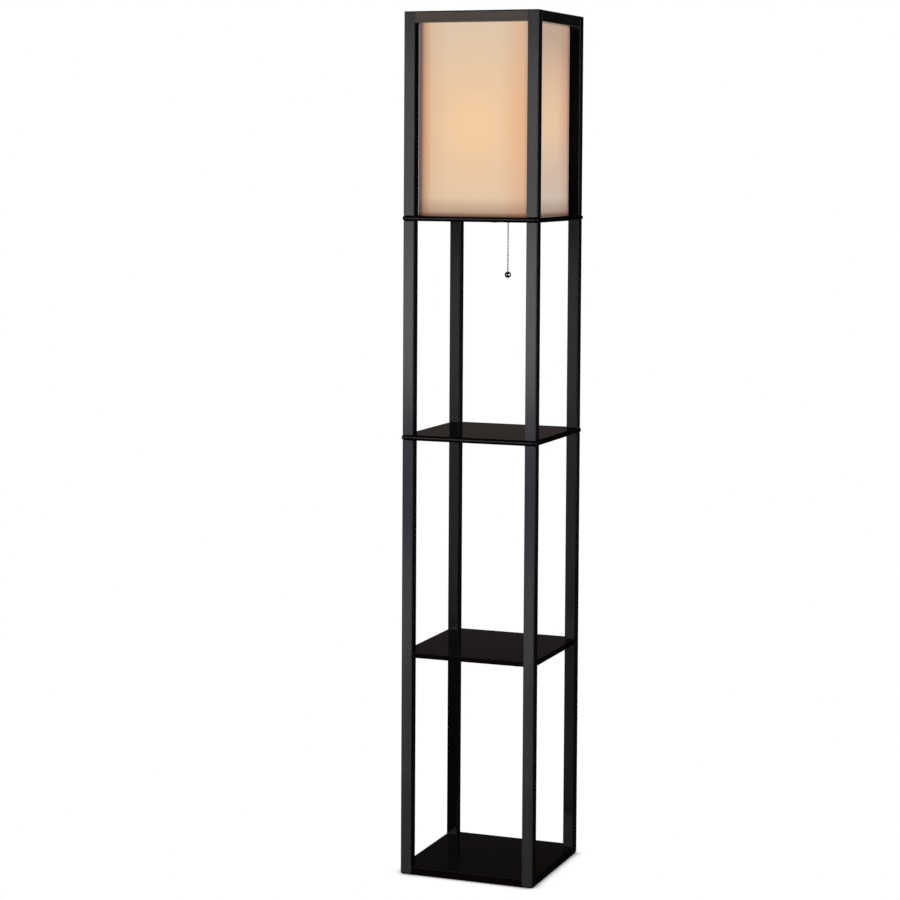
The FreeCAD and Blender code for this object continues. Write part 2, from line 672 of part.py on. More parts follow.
def make_pull_arm():
    """The arm that the chain works. It turns on a pin and has a keyhole slot for the chain."""
    body = new_body()
    barrel = new_sketch(body, "XZ_Plane")
    draw_circle(barrel, "0", "0", "arm_barrel")
    add_pad(body, barrel, "arm_width", both_ways=True)
    strip = new_sketch(body, "XZ_Plane")
    draw_rectangle(strip, "0", "-arm_thick / 2", "arm_length", "arm_thick / 2")
    add_pad(body, strip, "arm_width", both_ways=True)
    tip = value("arm_length")
    dress_edges(body, "Fillet", "arm_width / 3",
                lambda edge, middle: is_line_along(edge, UPRIGHT) and middle.x > tip - 0.01)
    bore = new_sketch(body, "XZ_Plane")
    draw_circle(bore, "0", "0", "pin_radius + pin_play")
    cut_pocket(body, bore, "2 * arm_width", both_ways=True)
    # the barrel is parted into two knuckles, with the return spring between them
    parting = new_sketch(body)
    half_gap = "(spring_length / 2 + 2 * spring_wire)"
    draw_rectangle(parting, "-2 * arm_barrel", f"-{half_gap}", "arm_barrel + arm_thick", half_gap)
    cut_pocket(body, parting, "4 * arm_barrel", both_ways=True)
    keyhole = new_sketch(body)
    draw_circle(keyhole, "keyhole_x", "0", "keyhole_radius")
    cut_pocket(body, keyhole, "2 * arm_thick", both_ways=True)
    slot = new_sketch(body)
    slot_centre = "(slot_end - slot_width / 2)"
    draw_rectangle(slot, "keyhole_x", "-slot_width / 2", slot_centre, "slot_width / 2")
    cut_pocket(body, slot, "2 * arm_thick", both_ways=True)
    slot_round = new_sketch(body)
    draw_circle(slot_round, slot_centre, "0", "slot_width / 2")
    cut_pocket(body, slot_round, "2 * arm_thick", both_ways=True)
    put(body, "arm_axis_x", "0", "arm_z")
    finish(body, "pull_arm")


def make_arm_pin_and_spring():
    """The pin in the switch block, and the coil on it with its fixed leg in the block."""
    pin = new_body()
    section = new_sketch(pin, "XZ_Plane")
    draw_circle(section, "0", "0", "pin_radius")
    add_pad(pin, section, "pin_length", both_ways=True)
    put(pin, "arm_axis_x", "0", "arm_z")
    finish(pin, "arm_pin")
    spring = new_body()
    leg = new_sketch(spring)
    draw_circle(leg, "-spring_radius", "-spring_length / 2", "spring_wire")
    add_pad(spring, leg, "arm_slot + spring_length")
    wire = new_sketch(spring)
    draw_circle(wire, "-spring_radius", "-spring_length / 2", "spring_wire")
    coil = spring.newObject("PartDesign::AdditiveHelix", "Coil")
    coil.Profile = wire
    coil.ReferenceAxis = (wire, ["V_Axis"])
    coil.LeftHanded = True
    bind(coil, "Pitch", "spring_pitch")
    bind(coil, "Height", "spring_length")
    doc.recompute()
    put(spring, "arm_axis_x", "0", "arm_z")
    finish(spring, "arm_return_spring")


def make_lampholder():
    bore = "(shell_radius - shell_wall)"
    make_cap()
    make_switch_block()
    make_pull_arm()
    make_arm_pin_and_spring()
    make_turned("lampholder_shell", (
        (bore, "cap_height"), ("cap_radius", "cap_height"),
        ("cap_radius", "cap_height - shell_skirt"), ("shell_radius", "cap_height - shell_skirt"),
        ("shell_radius", "shell_top - shell_wall / 2"), ("shell_radius - shell_wall / 2", "shell_top"),
        (bore, "shell_top")))
    make_turned("lampholder_liner",
                ring(f"{bore} - liner_wall", bore, "cap_height", "shell_top - shell_wall"))
    thread_foot = "(cap_height + thread_wall)"
    make_turned("thread_shell", (
        ("boss_radius", "cap_height"), ("boss_radius + 3 * thread_wall", "cap_height"),
        ("boss_radius + 3 * thread_wall", thread_foot), ("boss_radius + thread_wall", thread_foot),
        ("boss_radius + thread_wall", "thread_top"), ("boss_radius", "thread_top")))
    make_turned("centre_contact", (
        ("0", "boss_top"), ("boss_top / 8", "boss_top"), ("boss_top / 8", "boss_top + thread_wall"),
        ("boss_top / 16", "boss_top + thread_wall"), ("boss_top / 24", "contact_top"),
        ("0", "contact_top")))


def make_bulb():
    """A frosted bulb: contact, insulator, screw cap and a hollow glass globe."""
    tip_radius, tip_top = "(bulb_cap_radius / 4)", "(contact_top + 2)"
    foot_radius = "(bulb_cap_radius - 2)"
    make_turned("bulb_contact", (("0", "contact_top"), (f"{tip_radius} / 2", "contact_top"),
                                 (tip_radius, "contact_top + 1"), (tip_radius, tip_top),
                                 ("0", tip_top)))
    make_turned("bulb_insulator", (("0", tip_top), (f"{tip_radius} + 1", tip_top),
                                   (foot_radius, "bulb_cap_foot"),
                                   (foot_radius, "bulb_cap_foot + 2"), ("0", "bulb_cap_foot + 2")))
    # the rolled thread is drawn as rings whose crests bear on the thread shell
    thread = []
    for turn in range(5):
        crest = f"bulb_cap_foot + 2 + ({turn} + 1 / 2) * thread_pitch"
        thread.append(("boss_radius", crest))
        thread.append(("bulb_cap_radius", f"{crest} + thread_pitch / 2"))
    make_turned("bulb_screw_cap", [
        (foot_radius, "bulb_cap_foot"), ("bulb_cap_radius", "bulb_cap_foot + 2"), *thread,
        ("bulb_cap_radius", "bulb_cap_top"), ("bulb_neck", "bulb_cap_top"),
        ("bulb_neck", "bulb_cap_foot + 2"), (foot_radius, "bulb_cap_foot + 2")])
    body = new_body()
    section = new_sketch(body, "XZ_Plane")
    draw_glass(section)
    add_revolution(body, section)
    put(body, height="holder_z")
    finish(body, "bulb_glass")


def draw_glass(sketch):
    """The glass from the neck, over a line tangent to the globe, to the crown, inside and out."""
    walls = []
    for inset in ("0", "bulb_glass"):
        globe = value(f"bulb_radius - {inset}")
        neck = value(f"bulb_neck - {inset}")
        middle = Vector(0, value("bulb_middle"), 0)
        shoulder = Vector(neck, value("bulb_cap_top"), 0)
        reach = shoulder - middle
        # the tangent from the shoulder touches the globe this far round from the line to it
        turn = math.acos(globe / reach.Length)
        touch_angle = math.atan2(reach.y, reach.x) + turn
        touch = middle + Vector(math.cos(touch_angle), math.sin(touch_angle), 0) * globe
        equator_angle = (touch_angle + math.pi / 2) / 2
        equator = middle + Vector(math.cos(equator_angle), math.sin(equator_angle), 0) * globe
        crown = middle + Vector(0, globe, 0)
        rim = Vector(neck, value("bulb_cap_top - bulb_neck / 2"), 0)
        walls.append([Part.LineSegment(rim, shoulder), Part.LineSegment(shoulder, touch),
                      Part.Arc(touch, equator, crown)])
    outer, inner = walls
    for curve in outer + [Part.LineSegment(outer[2].EndPoint, inner[2].EndPoint)] + inner \
            + [Part.LineSegment(inner[0].StartPoint, outer[0].StartPoint)]:
        sketch.addGeometry(curve, False)
    for geometry in range(sketch.GeometryCount):
        sketch.addConstraint(Sketcher.Constraint("Block", geometry))


# ---------------------------------------------------------------- pull chain

def make_chain_bush():
    """A flanged bush in the lamp floor, which the chain runs through."""
    under = "-shelf_thick"
    body = new_body()
    section = new_sketch(body, "XZ_Plane")
    draw_polygon(section, (
        ("bush_bore", "neck_radius"), ("bush_bore + neck_radius", "2 * neck_radius"),
        ("bush_flange - neck_radius", "2 * neck_radius"), ("bush_flange", "neck_radius"),
        ("bush_flange", "0"), ("bush_radius", "0"), ("bush_radius", under), ("bush_flange", under),
        ("bush_flange", f"{under} - bush_lip / 2"), ("bush_flange - bush_lip / 2", f"{under} - bush_lip"),
        ("bush_bore + bush_lip / 2", f"{under} - bush_lip"), ("bush_bore", f"{under} - bush_lip / 2")))
    add_revolution(body, section)
    put(body, "chain_x", "0", "lamp_floor_top")
    finish(body, "chain_bush")


def turn_bead(body, height, radius):
    """A ball turned on the chain's axis."""
    section = new_sketch(body, "XZ_Plane")
    middle = Vector(0, value(height), 0)
    reach = value(radius)
    circle = Part.Circle(middle, Vector(0, 0, 1), reach)
    section.addGeometry(Part.ArcOfCircle(circle, -math.pi / 2, math.pi / 2), False)
    pole = Vector(0, reach, 0)
    section.addGeometry(Part.LineSegment(middle + pole, middle - pole), False)
    section.addConstraint(Sketcher.Constraint("Coincident", 0, 2, 1, 1))
    section.addConstraint(Sketcher.Constraint("Coincident", 0, 1, 1, 2))
    section.addConstraint(Sketcher.Constraint("PointOnObject", 1, 1, -2))
    index = section.addConstraint(Sketcher.Constraint("Radius", 0, reach))
    bind(section, f"Constraints[{index}]", radius)
    tie_point(section, 0, 3, "0", height)
    return add_revolution(body, section)


def repeat_down(body, feature, count):
    """Repeats a bead down the chain."""
    pattern = body.newObject("PartDesign::LinearPattern", "LinearPattern")
    pattern.Originals = [feature]
    upright = next(item for item in body.Origin.OriginFeatures if item.Role == "Z_Axis")
    pattern.Direction = (upright, [""])
    pattern.Reversed = True
    bind(pattern, "Occurrences", count)
    bind(pattern, "Length", f"({count} - 1) * chain_pitch")
    body.Tip = pattern
    doc.recompute()


def add_wire(body, head, foot):
    """The wire through a run of beads."""
    section = new_sketch(body, "XZ_Plane")
    draw_rectangle(section, "0", foot, "neck_radius", head)
    add_revolution(body, section)


def make_chain():
    """The pull chain. Heights in each run are measured from the middle of the swivel bead."""
    end_of_wire = "(bead_radius + bead_play)"
    upper = new_body()
    top_bead = "(beads_above * chain_pitch)"
    add_wire(upper, f"{top_bead} + stop_link + 1.1 * stop_radius", end_of_wire)
    repeat_down(upper, turn_bead(upper, top_bead, "bead_radius"), "beads_above")
    turn_bead(upper, f"{top_bead} + stop_link", "stop_radius")
    put(upper, "chain_x", "0", "swivel_z")
    finish(upper, "upper_pull_chain")
    bead = doc.addObject("Part::Sphere", "SwivelBead")
    bind(bead, "Radius", "bead_radius")
    put(bead, "chain_x", "0", "swivel_z")
    finish(bead, "chain_swivel_bead")
    lower = new_body()
    add_wire(lower, f"-{end_of_wire}", "chain_end - swivel_z - connector_radius / 2")
    repeat_down(lower, turn_bead(lower, "-chain_pitch", "bead_radius"), "beads_below")
    put(lower, "chain_x", "0", "swivel_z")
    finish(lower, "lower_pull_chain")


def make_ball_and_connector():
    """The bell that grips the end of the chain, with its spigot, and the ball bored for that."""
    spigot, spigot_length = "(connector_radius * 2 / 3)", "(connector_length / 2)"
    bell = new_body()
    section = new_sketch(bell, "XZ_Plane")
    draw_polygon(section, (
        ("0", "-connector_radius / 2"), ("neck_radius", "-connector_radius / 2"),
        ("neck_radius", "0"), ("2 * neck_radius", "0"), (spigot, "-connector_radius"),
        ("connector_radius", "-connector_length * 0.7"), ("connector_radius", "-connector_length"),
        (spigot, "-connector_length"), (spigot, f"-connector_length - {spigot_length}"),
        ("0", f"-connector_length - {spigot_length}")))
    add_revolution(bell, section)
    put(bell, "chain_x", "0", "chain_end")
    finish(bell, "chain_connector")
    sphere = doc.addObject("Part::Sphere", "Ball")
    bind(sphere, "Radius", "ball_radius")
    bind(sphere, "Angle2", "acos(connector_radius / ball_radius)")
    boring = doc.addObject("Part::Cylinder", "BallBore")
    bind(boring, "Radius", spigot)
    bind(boring, "Height", spigot_length)
    bind(boring, "Placement.Base.z", f"connector_flat - {spigot_length}")
    ball = doc.addObject("Part::Cut", "BoredBall")
    ball.Base = sphere
    ball.Tool = boring
    put(ball, "chain_x", "0", "chain_end - connector_length - connector_flat")
    finish(ball, "pull_ball")


# ---------------------------------------------------------------- the whole lamp

make_foot_pads()
make_housed_board("base_board", "pad_thick", "base_thick")
make_housed_board("lower_shelf", "lower_shelf_z", "shelf_thick")
make_bullnose_board("upper_shelf", "upper_shelf_z")
make_bullnose_board("lamp_floor", "lamp_floor_z", holes=(
    ("0", "0", "recess_radius", "recess_depth"), ("0", "0", "nipple_radius", "shelf_thick"),
    ("chain_x", "0", "bush_radius", "shelf_thick")))
for stage in STAGES:
    for corner in CORNERS:
        make_post(corner, stage)
for side, turn in SIDES:
    make_rail(side, turn)
    make_shade_panel(side, turn)
make_joint_screws()
tongue_middle = "(inner_face + tongue / 2)"
make_countersunk_screws("base_screws",
                        [(f"{east} * {tongue_middle}", f"{north} * {tongue_middle}")
                         for corner_name, east, north, turn in CORNERS],
                        "pad_thick", True, "base_screw_radius", "base_screw_length")
make_rail_dowels()
make_flange()
make_countersunk_screws("flange_screws", (("0", "-post_axis"), ("post_axis", "0"),
                                          ("0", "post_axis"), ("-post_axis", "0")),
                        "total_height", False, "flange_screw_radius", "flange_screw_length")
make_shade_frame()
make_nipple_group()
make_lampholder()
make_bulb()
make_chain_bush()
make_chain()
make_ball_and_connector()

doc.recompute()
for thing in doc.Objects:
    if "Invalid" in thing.State or "Error" in thing.State:
        raise ValueError(thing.Label + " failed: " + str(thing.State))
for node in nodes:
    if node.Shape.isNull() or not node.Shape.isValid():
        raise ValueError(node.Label + " has no valid shape")
    node.Shape.exportStep(f"parts/{node.Label}.step")
    print(f"{node.Label:28s} {len(node.Shape.Solids):3d} solids {node.Shape.Volume:12.1f} mm3")
print(len(nodes), "sub-parts")
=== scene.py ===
"""Looks of a square shelf floor lamp: finishes, cloth shade, bulb, pull chain, screws and studio.

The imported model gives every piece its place. Lengths are in metres and the lamp stands on z = 0,
with its front towards -Y. Sizes of details are written in millimetres through MM.
"""
import json
import logging
import math
from dataclasses import dataclass
from enum import Enum

import bpy
from mathutils import Matrix, Vector

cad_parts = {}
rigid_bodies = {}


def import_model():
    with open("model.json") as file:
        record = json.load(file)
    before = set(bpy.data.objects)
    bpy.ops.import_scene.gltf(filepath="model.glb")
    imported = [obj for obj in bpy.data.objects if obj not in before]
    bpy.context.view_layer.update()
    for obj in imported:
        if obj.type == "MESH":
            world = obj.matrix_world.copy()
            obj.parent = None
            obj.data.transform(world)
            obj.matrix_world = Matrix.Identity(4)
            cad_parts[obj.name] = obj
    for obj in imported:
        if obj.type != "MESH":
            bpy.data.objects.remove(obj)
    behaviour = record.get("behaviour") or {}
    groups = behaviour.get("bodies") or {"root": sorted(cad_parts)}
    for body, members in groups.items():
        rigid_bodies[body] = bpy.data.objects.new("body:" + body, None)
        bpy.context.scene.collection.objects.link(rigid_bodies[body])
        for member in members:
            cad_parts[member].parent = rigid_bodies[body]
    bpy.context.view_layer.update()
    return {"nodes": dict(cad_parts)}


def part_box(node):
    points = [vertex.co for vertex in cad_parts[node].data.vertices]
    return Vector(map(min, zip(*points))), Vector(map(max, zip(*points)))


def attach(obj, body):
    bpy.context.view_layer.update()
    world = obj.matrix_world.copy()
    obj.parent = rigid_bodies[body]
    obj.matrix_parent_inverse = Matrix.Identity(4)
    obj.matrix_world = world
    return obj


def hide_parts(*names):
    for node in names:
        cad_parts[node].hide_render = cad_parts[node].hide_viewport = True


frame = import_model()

MM = 0.001
WHITE = "#ffffff"
LOG = logging.getLogger("shelf_floor_lamp")

BOARDS = ("base_board", "lower_shelf", "upper_shelf", "lamp_floor")
# Each side lies a quarter turn from the one before it.
SIDES = ("front", "right", "back", "left")
# Most values of a noise pattern lie between these two.
NOISE_LOW, NOISE_HIGH = 0.3, 0.7

Colour = tuple[float, float, float, float]
Stops = tuple[tuple[float, str], ...]


# ---- nodes and colours

def linear(hex_code: str) -> Colour:
    """Turns an sRGB hex colour into the linear one that shaders work in.

    Args:
        hex_code: The colour as "#rrggbb".

    Returns:
        Red, green, blue and an alpha of 1.
    """
    channels = [int(hex_code[start:start + 2], 16) / 255 for start in (1, 3, 5)]
    toned = [c / 12.92 if c <= 0.04045 else ((c + 0.055) / 1.055) ** 2.4 for c in channels]
    return (toned[0], toned[1], toned[2], 1.0)


def feed(node: bpy.types.Node, inputs: dict) -> None:
    """Sets inputs of a node.

    Args:
        node: The node.
        inputs: For an input's name or number, its value or the socket that feeds it.
    """
    for name, source in inputs.items():
        if isinstance(source, bpy.types.NodeSocket):
            node.id_data.links.new(source, node.inputs[name])
        else:
            node.inputs[name].default_value = source


def add_node(tree: bpy.types.NodeTree, kind: str, settings: dict | None = None,
             inputs: dict | None = None) -> bpy.types.Node:
    """Adds one shader node with its settings and links.

    Args:
        tree: The tree that it joins.
        kind: The node's type without the leading "ShaderNode".
        settings: Values of the node's own properties.
        inputs: What feed sets its inputs to.

    Returns:
        The new node.
    """
    node = tree.nodes.new("ShaderNode" + kind)
    for name, setting in (settings or {}).items():
        setattr(node, name, setting)
    feed(node, inputs or {})
    return node


def set_marks(ramp: bpy.types.ColorRamp, stops: Stops) -> None:
    """Sets a colour ramp to stops of a distance in millimetres and a colour.

    Args:
        ramp: A new ramp, which covers the distance up to the last stop.
        stops: The stops, the nearest first.
    """
    while len(ramp.elements) < len(stops):
        ramp.elements.new(1.0)
    for mark, (distance_mm, hex_code) in zip(ramp.elements, stops):
        mark.position = distance_mm / stops[-1][0]
        mark.color = linear(hex_code)


class Axis(Enum):
    """The direction that wood grain or brushing runs in."""

    X = 0
    Y = 1
    Z = 2


@dataclass(frozen=True)
class Finish:
    """What every finish has: a name, and one Principled shader that a subclass feeds."""

    name: str

    def material(self) -> bpy.types.Material:
        """Builds the finish as a material."""
        made = bpy.data.materials.new(self.name)
        made.use_nodes = True
        tree = made.node_tree
        tree.nodes.clear()
        shader = add_node(tree, "BsdfPrincipled")
        add_node(tree, "OutputMaterial", inputs={"Surface": shader.outputs["BSDF"]})
        self.paint(tree, shader)
        return made

    def paint(self, tree: bpy.types.NodeTree, shader: bpy.types.Node) -> None:
        """Feeds the shader.

        Args:
            tree: The material's node tree.
            shader: Its Principled shader.
        """
        raise NotImplementedError

    def place(self, tree: bpy.types.NodeTree,
              scale: tuple[float, float, float]) -> bpy.types.NodeSocket:
        """Object coordinates, stretched.

        Args:
            tree: The material's node tree.
            scale: Pattern cells to the metre along each axis.

        Returns:
            The coordinate socket.
        """
        coordinates = add_node(tree, "TexCoord")
        mapping = add_node(tree, "Mapping", inputs={
            "Vector": coordinates.outputs["Object"], "Scale": scale})
        return mapping.outputs["Vector"]

    def bump(self, tree: bpy.types.NodeTree, shader: bpy.types.Node, height: bpy.types.NodeSocket,
             depth_mm: float, strength: float = 1.0) -> None:
        """Raises the surface by a pattern.

        Args:
            tree: The material's node tree.
            shader: The shader whose normal it bends.
            height: The pattern, from 0 to 1.
            depth_mm: How high a full step of the pattern stands.
            strength: Share of the bump that is used.
        """
        bump = add_node(tree, "Bump", inputs={
            "Height": height, "Distance": depth_mm * MM, "Strength": strength})
        feed(shader, {"Normal": bump.outputs["Normal"]})


# ---- finishes

@dataclass(frozen=True)
class StainedWood(Finish):
    """Close-grained hardwood under a dark stain and a satin lacquer.

    The stain sits darker in the pores, so the grain shows as fine, low-contrast streaks, and the
    lacquer gives a soft, even sheen. End grain drinks more stain and shines less.
    """

    stain_hex: str
    streak_hex: str
    grain: Axis
    roughness: float = 0.13
    streak_width_mm: float = 1.4
    streak_length_mm: float = 90.0
    pore_depth_mm: float = 0.035
    fine_share: float = 0.62
    broad_stretch: float = 9.0
    end_tone: float = 0.6
    end_matt: float = 0.18
    lacquer_spread: tuple[float, float] = (0.05, -0.03)

    def paint(self, tree: bpy.types.NodeTree, shader: bpy.types.Node) -> None:
        """Feeds the shader with streaks, pores, end grain and uneven lacquer."""
        across, along = 1 / (self.streak_width_mm * MM), 1 / (self.streak_length_mm * MM)
        scale = [across, across, across]
        scale[self.grain.value] = along
        streak_place = self.place(tree, tuple(scale))
        streaks = add_node(tree, "TexNoise", inputs={
            "Vector": streak_place, "Scale": 1.0, "Detail": 5.0, "Roughness": 0.62,
            "Distortion": 0.25})
        broad_place = self.place(tree, tuple(side / self.broad_stretch for side in scale))
        cathedral = add_node(tree, "TexNoise", inputs={
            "Vector": broad_place, "Scale": 1.0, "Detail": 2.0, "Distortion": 0.8})
        both = add_node(tree, "Math", {"operation": "MULTIPLY_ADD"}, {
            0: streaks.outputs["Fac"], 1: self.fine_share, 2: cathedral.outputs["Fac"]})
        tone = add_node(tree, "MapRange", inputs={
            "Value": both.outputs[0], "From Min": 0.55, "From Max": 1.1})
        side_grain = add_node(tree, "Mix", {"data_type": "RGBA"}, {
            "Factor": tone.outputs["Result"], "A": linear(self.stain_hex),
            "B": linear(self.streak_hex)})
        is_end = self.end_grain_mask(tree)
        end_colour = tuple(self.end_tone * part for part in linear(self.stain_hex)[:3]) + (1.0,)
        colour = add_node(tree, "Mix", {"data_type": "RGBA"}, {
            "Factor": is_end, "A": side_grain.outputs["Result"], "B": end_colour})
        lacquer = add_node(tree, "MapRange", inputs={
            "Value": streaks.outputs["Fac"], "From Min": NOISE_LOW, "From Max": NOISE_HIGH,
            "To Min": self.roughness + self.lacquer_spread[0],
            "To Max": self.roughness + self.lacquer_spread[1]})
        rough = add_node(tree, "Math", {"operation": "MULTIPLY_ADD"}, {
            0: is_end, 1: self.end_matt, 2: lacquer.outputs["Result"]})
        feed(shader, {"Base Color": colour.outputs["Result"], "Roughness": rough.outputs[0],
                      "IOR": 1.5})
        self.bump(tree, shader, streaks.outputs["Fac"], self.pore_depth_mm, 0.6)

    def end_grain_mask(self, tree: bpy.types.NodeTree) -> bpy.types.NodeSocket:
        """1 where the surface is cut across the grain, and 0 along it."""
        geometry = add_node(tree, "NewGeometry")
        parts = add_node(tree, "SeparateXYZ", inputs={"Vector": geometry.outputs["True Normal"]})
        size = add_node(tree, "Math", {"operation": "ABSOLUTE"}, {
            0: parts.outputs[self.grain.value]})
        mask = add_node(tree, "MapRange", {"interpolation_type": "SMOOTHSTEP"}, {
            "Value": size.outputs[0], "From Min": 0.75, "From Max": 0.95})
        return mask.outputs["Result"]


@dataclass(frozen=True)
class LaminatedLinen(Finish):
    """Linen laminated to a clear backing, which looks lit by the bulb behind it.

    The glow is painted by the distance to the bulb, and does not come from the bulb itself. It is
    warm nearest the bulb and greyer away from it. On the left and right it is weaker, and greyer
    below the bulb than above: a painted shade of the sides. Along the cloth's ends and its foot a
    painted shade stands for the sticks behind it, which hold the light back, and the left end is
    painted darker than the right. The threads show only as a faint, uneven weave. The edges follow
    the panel's own UV map. Each stop is a distance in millimetres and a colour.
    """

    bulb_height: float
    width: float
    height: float
    cloth_hex: str = "#5e5a54"
    front_glow: Stops = ((109, "#f6cca2"), (130, "#ecc8a2"), (200, "#e0c6aa"))
    # The side ramps are weaker and greyer than the front one: painted shade of the left and right
    # sides.
    side_glow: Stops = ((109, "#eccaa6"), (155, "#dab89e"), (200, "#c4aa96"))
    side_low_glow: Stops = ((109, "#e8c8a8"), (140, "#d8beaa"), (185, "#d2c0b2"))
    # Painted shade of the sticks behind the cloth at its ends and foot; the left end is painted
    # darker than the right.
    left_end_painted_shade: Stops = ((5, "#807888"), (11, "#e0c4ae"), (25, "#faf4f2"), (60, "#ffffff"))
    right_end_painted_shade: Stops = ((4, "#c8c4d0"), (14, "#fce8da"), (60, "#ffffff"))
    foot: Stops = ((1, "#947e76"), (8, "#d6cecc"), (35, "#ffffff"))
    low_from_mm: float = 15.0
    low_to_mm: float = 60.0
    thread_mm: float = 1.1
    slub_length: float = 30.0
    slub_share: float = 0.03
    slub_depth_mm: float = 0.12

    def paint(self, tree: bpy.types.NodeTree, shader: bpy.types.Node) -> None:
        """Feeds the shader with the weave, the painted glow and the sticks' painted shade."""
        coordinates = add_node(tree, "TexCoord")
        lit = self.glow(tree, coordinates.outputs["Object"])
        slub = self.weave(tree)
        woven = add_node(tree, "Mix", {"data_type": "RGBA", "blend_type": "MULTIPLY"}, {
            "Factor": self.slub_share, "A": lit, "B": slub})
        shaded = self.paint_stick_shade(tree, coordinates.outputs["UV"], woven.outputs["Result"])
        feed(shader, {"Emission Color": shaded, "Emission Strength": 1.0,
                      "Base Color": linear(self.cloth_hex), "Roughness": 0.85,
                      "Sheen Weight": 0.1})
        self.bump(tree, shader, slub, self.slub_depth_mm, 0.5)

    def glow(self, tree: bpy.types.NodeTree, place: bpy.types.NodeSocket) -> bpy.types.NodeSocket:
        """The painted glow of the cloth, which weakens away from the bulb.

        Args:
            tree: The material's node tree.
            place: Object coordinates.

        Returns:
            The colour of the light.
        """
        reach = add_node(tree, "VectorMath", {"operation": "DISTANCE"}, {
            0: place, 1: (0.0, 0.0, self.bulb_height)})
        ramps = []
        for stops in (self.front_glow, self.side_glow, self.side_low_glow):
            share = add_node(tree, "Math", {"operation": "DIVIDE"}, {
                0: reach.outputs["Value"], 1: stops[-1][0] * MM})
            ramps.append(add_node(tree, "ValToRGB", inputs={"Fac": share.outputs[0]}))
            set_marks(ramps[-1].color_ramp, stops)
        parts = add_node(tree, "SeparateXYZ", inputs={"Vector": place})
        low = add_node(tree, "MapRange", {"interpolation_type": "SMOOTHSTEP"}, {
            "Value": parts.outputs["Z"],
            "From Min": self.bulb_height + self.low_from_mm * MM,
            "From Max": self.bulb_height - self.low_to_mm * MM})
        side = add_node(tree, "Mix", {"data_type": "RGBA"}, {
            "Factor": low.outputs["Result"], "A": ramps[1].outputs["Color"],
            "B": ramps[2].outputs["Color"]})
        geometry = add_node(tree, "NewGeometry")
        facing = add_node(tree, "SeparateXYZ", inputs={"Vector": geometry.outputs["True Normal"]})
        sideways = add_node(tree, "Math", {"operation": "ABSOLUTE"}, {0: facing.outputs["X"]})
        # The left and right panels take the side ramps: painted shade of the sides.
        both = add_node(tree, "Mix", {"data_type": "RGBA"}, {
            "Factor": sideways.outputs[0], "A": ramps[0].outputs["Color"],
            "B": side.outputs["Result"]})
        return both.outputs["Result"]

    def weave(self, tree: bpy.types.NodeTree) -> bpy.types.NodeSocket:
        """Threads up and across, of uneven thickness, drawn coarser than real to show at all."""
        cells = 1 / (self.thread_mm * MM)
        along = cells / self.slub_length
        threads = [add_node(tree, "TexNoise", inputs={
            "Vector": self.place(tree, scale), "Scale": 1.0, "Detail": 1.0})
            for scale in ((cells, cells, along), (along, along, cells))]
        both = add_node(tree, "Math", {"operation": "ADD"}, {
            number: thread.outputs["Fac"] for number, thread in enumerate(threads)})
        half = add_node(tree, "Math", {"operation": "MULTIPLY"}, {0: both.outputs[0], 1: 0.5})
        return half.outputs[0]

    def paint_stick_shade(self, tree: bpy.types.NodeTree, place: bpy.types.NodeSocket,
                        light: bpy.types.NodeSocket) -> bpy.types.NodeSocket:
        """Paints the sticks' shade along the two ends and the foot of a panel.

        Args:
            tree: The material's node tree.
            place: The panel's UV coordinates, from its left foot as seen from outside.
            light: The painted glow of the cloth.

        Returns:
            The painted glow with the sticks' painted shade in it.
        """
        parts = add_node(tree, "SeparateXYZ", inputs={"Vector": place})
        from_right = add_node(tree, "Math", {"operation": "SUBTRACT"}, {
            0: 1.0, 1: parts.outputs["X"]})
        edges = ((parts.outputs["X"], self.width, self.left_end_painted_shade),
                 (from_right.outputs[0], self.width, self.right_end_painted_shade),
                 (parts.outputs["Y"], self.height, self.foot))
        for share, length, stops in edges:
            depth = add_node(tree, "Math", {"operation": "MULTIPLY"}, {
                0: share, 1: length / (stops[-1][0] * MM)})
            painted_shade_band = add_node(tree, "ValToRGB", inputs={"Fac": depth.outputs[0]})
            set_marks(painted_shade_band.color_ramp, stops)
            light = add_node(tree, "Mix", {"data_type": "RGBA", "blend_type": "MULTIPLY"}, {
                "Factor": 1.0, "A": light, "B": painted_shade_band.outputs["Color"]}).outputs["Result"]
        return light


@dataclass(frozen=True)
class PlainWood(Finish):
    """Bare planed wood, as on the shade's sticks and the dowels: pale, dry and streaky."""

    pale_hex: str = "#c9ad84"
    dark_hex: str = "#a98759"
    grain: Axis = Axis.Z
    streak_width_mm: float = 0.8
    streak_length_mm: float = 70.0

    def paint(self, tree: bpy.types.NodeTree, shader: bpy.types.Node) -> None:
        """Feeds the shader with growth streaks."""
        scale = [1 / (self.streak_width_mm * MM)] * 3
        scale[self.grain.value] = 1 / (self.streak_length_mm * MM)
        streaks = add_node(tree, "TexNoise", inputs={
            "Vector": self.place(tree, tuple(scale)), "Scale": 1.0, "Detail": 3.0})
        colour = add_node(tree, "Mix", {"data_type": "RGBA"}, {
            "Factor": streaks.outputs["Fac"], "A": linear(self.pale_hex),
            "B": linear(self.dark_hex)})
        feed(shader, {"Base Color": colour.outputs["Result"], "Roughness": 0.75})
        self.bump(tree, shader, streaks.outputs["Fac"], 0.05, 0.6)


